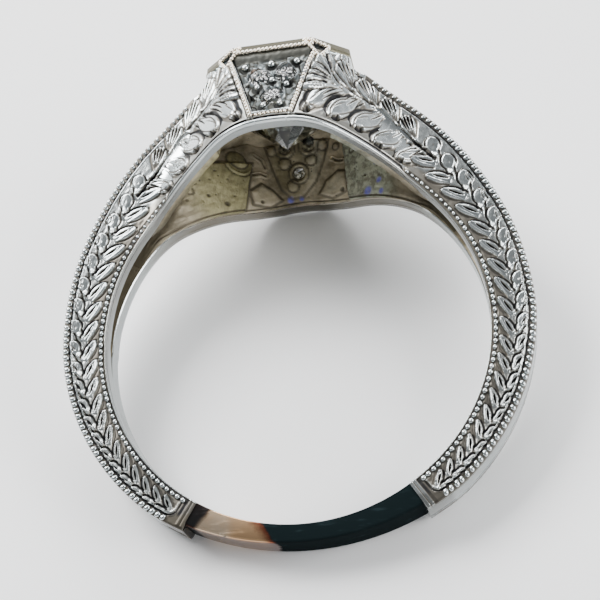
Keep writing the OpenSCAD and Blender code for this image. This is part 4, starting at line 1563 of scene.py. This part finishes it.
class RING_OT_stones(bpy.types.Operator):
    """Give the stones their finish"""
    bl_idname = "ring.stones"
    bl_label = "Stones"

    def execute(self, context):
        look = context.scene.ring_look
        big = diamond(Finish(bpy.data.materials.new("diamond")), look, look.painted_reflection, broken=False)
        small = diamond(Finish(bpy.data.materials.new("small_diamond")), look, look.small_stones_painted_reflection, broken=True)
        finishes = {"ring_body": metals("polished_white_gold")[0], "centre_stone": big}
        missing = set(finishes) - set(frame["nodes"])
        if missing:
            raise RuntimeError("The packed model has no " + ", ".join(sorted(missing)))
        for name, node in frame["nodes"].items():
            node.data.materials.clear()
            node.data.materials.append(finishes.get(name, small))
        return {"FINISHED"}


class RING_OT_stage(bpy.types.Operator):
    """Lay the floor, set the lights and place the camera"""
    bl_idname = "ring.stage"
    bl_label = "Stage"

    def execute(self, context):
        studio = context.scene.ring_studio
        self.floor(context, studio)
        self.sky(context, studio)
        for name, place, size, power in (("key", (-0.12, 0.10, 0.16), 0.12, 0.85),
                                         ("fill", (0.16, -0.02, 0.10), 0.10, 0.34),
                                         ("rim", (0.02, 0.2, 0.08), 0.12, 0.42)):
            light = bpy.data.lights.new(name, "AREA")
            light.size, light.energy = size, power * studio.light
            lamp = bpy.data.objects.new(name, light)
            lamp.location = place
            lamp.rotation_euler = (-Vector(place)).to_track_quat("-Z", "Y").to_euler()
            context.scene.collection.objects.link(lamp)
        self.camera(context, studio)
        return {"FINISHED"}

    def floor(self, context, studio, half_side=0.6):
        mesh = bpy.data.meshes.new("floor")
        low, r = CAD_BOX[0][2], half_side
        mesh.from_pydata([(-r, -r, low), (r, -r, low), (r, r, low), (-r, r, low)], [], [[0, 1, 2, 3]])
        floor = bpy.data.objects.new("floor", mesh)
        context.scene.collection.objects.link(floor)
        f = Finish(bpy.data.materials.new("floor"))
        tone = f.blend(f.noise(f.place(), 30.0), studio.floor, shaded(studio.floor, 0.97))
        mesh.materials.append(f.done(f.surface({"Base Color": tone, "Roughness": 0.6})))

    def sky(self, context, studio):
        """Even studio light, with a dark patch straight overhead that the flat polished faces mirror."""
        world = context.scene.world or bpy.data.worlds.new("studio")
        context.scene.world = world
        f = Finish(world)
        x, y, z = f.parts(f.add("TexCoord"))
        behind, beside = x * -0.3 + y * 0.78 + z * 0.55, x * 0.85 + y * 0.1 + z * 0.5
        overhead = f.step(z, 0.86, 0.95) * (1.0 - f.step(behind, 0.8, 0.95))
        glow = 0.42 + 1.25 * f.step(behind, 0.62, 0.92) + 0.75 * f.step(beside, 0.75, 0.95)
        glow = (glow + 0.35 * f.step(z, 0.35, -0.1)) * (1.0 - 0.45 * overhead)
        light = f.add("VectorMath", {0: (0.95, 0.975, 1.0), "Scale": glow}, operation="SCALE")
        f.done(f.add("Background", {"Color": light, "Strength": studio.light}), "OutputWorld")

    def camera(self, context, studio):
        """The photograph's point of view, from a camera matched to the finger hole and the outline."""
        distance, back = 60.0, Vector((0.143, -0.3644, 0.9202))
        eye = Vector(to_world([back * distance])[0])
        right = Vector(to_world([(0.984, -0.047, -0.172)])[0]).normalized()
        data = bpy.data.cameras.new("photo_camera")
        data.lens, data.sensor_width = studio.lens, 36
        data.shift_x, data.shift_y = 0.0045, 0.0653
        data.clip_start, data.clip_end = 0.002, 5
        camera = bpy.data.objects.new("photo_camera", data)
        axis = eye.normalized()
        up = axis.cross(right).normalized()
        camera.matrix_world = Matrix((up.cross(axis), up, axis)).transposed().to_4x4()
        camera.location = eye
        context.scene.collection.objects.link(camera)
        context.scene.camera = camera


class RING_PT_panel(bpy.types.Panel):
    """The ring's operators and settings"""
    bl_label = "Engraved Ring"
    bl_idname = "RING_PT_panel"
    bl_space_type = "VIEW_3D"
    bl_region_type = "UI"
    bl_category = "Ring"

    def draw(self, context):
        for operator in OPERATORS:
            self.layout.operator(operator.bl_idname)
        for key, group in GROUPS.items():
            box = self.layout.box()
            for name in group.__annotations__:
                box.prop(getattr(context.scene, key), name)


GROUPS = {"ring_engraving": RING_PG_engraving, "ring_look": RING_PG_look, "ring_studio": RING_PG_studio}
OPERATORS = (RING_OT_stage, RING_OT_core, RING_OT_gallery, RING_OT_engraving, RING_OT_milgrain,
             RING_OT_panels, RING_OT_stones)
CLASSES = (*GROUPS.values(), *OPERATORS, RING_PT_panel)


def register():
    for cls in CLASSES:
        bpy.utils.register_class(cls)
    for key, group in GROUPS.items():
        setattr(bpy.types.Scene, key, PointerProperty(type=group))


def unregister():
    for key in GROUPS:
        delattr(bpy.types.Scene, key)
    for cls in reversed(CLASSES):
        bpy.utils.unregister_class(cls)


def main():
    register()
    bpy.ops.ring.stage()
    bpy.ops.ring.core()
    bpy.ops.ring.gallery()
    bpy.ops.ring.engraving()
    bpy.ops.ring.milgrain()
    bpy.ops.ring.panels()
    bpy.ops.ring.stones()


if __name__ == "__main__":
    main()
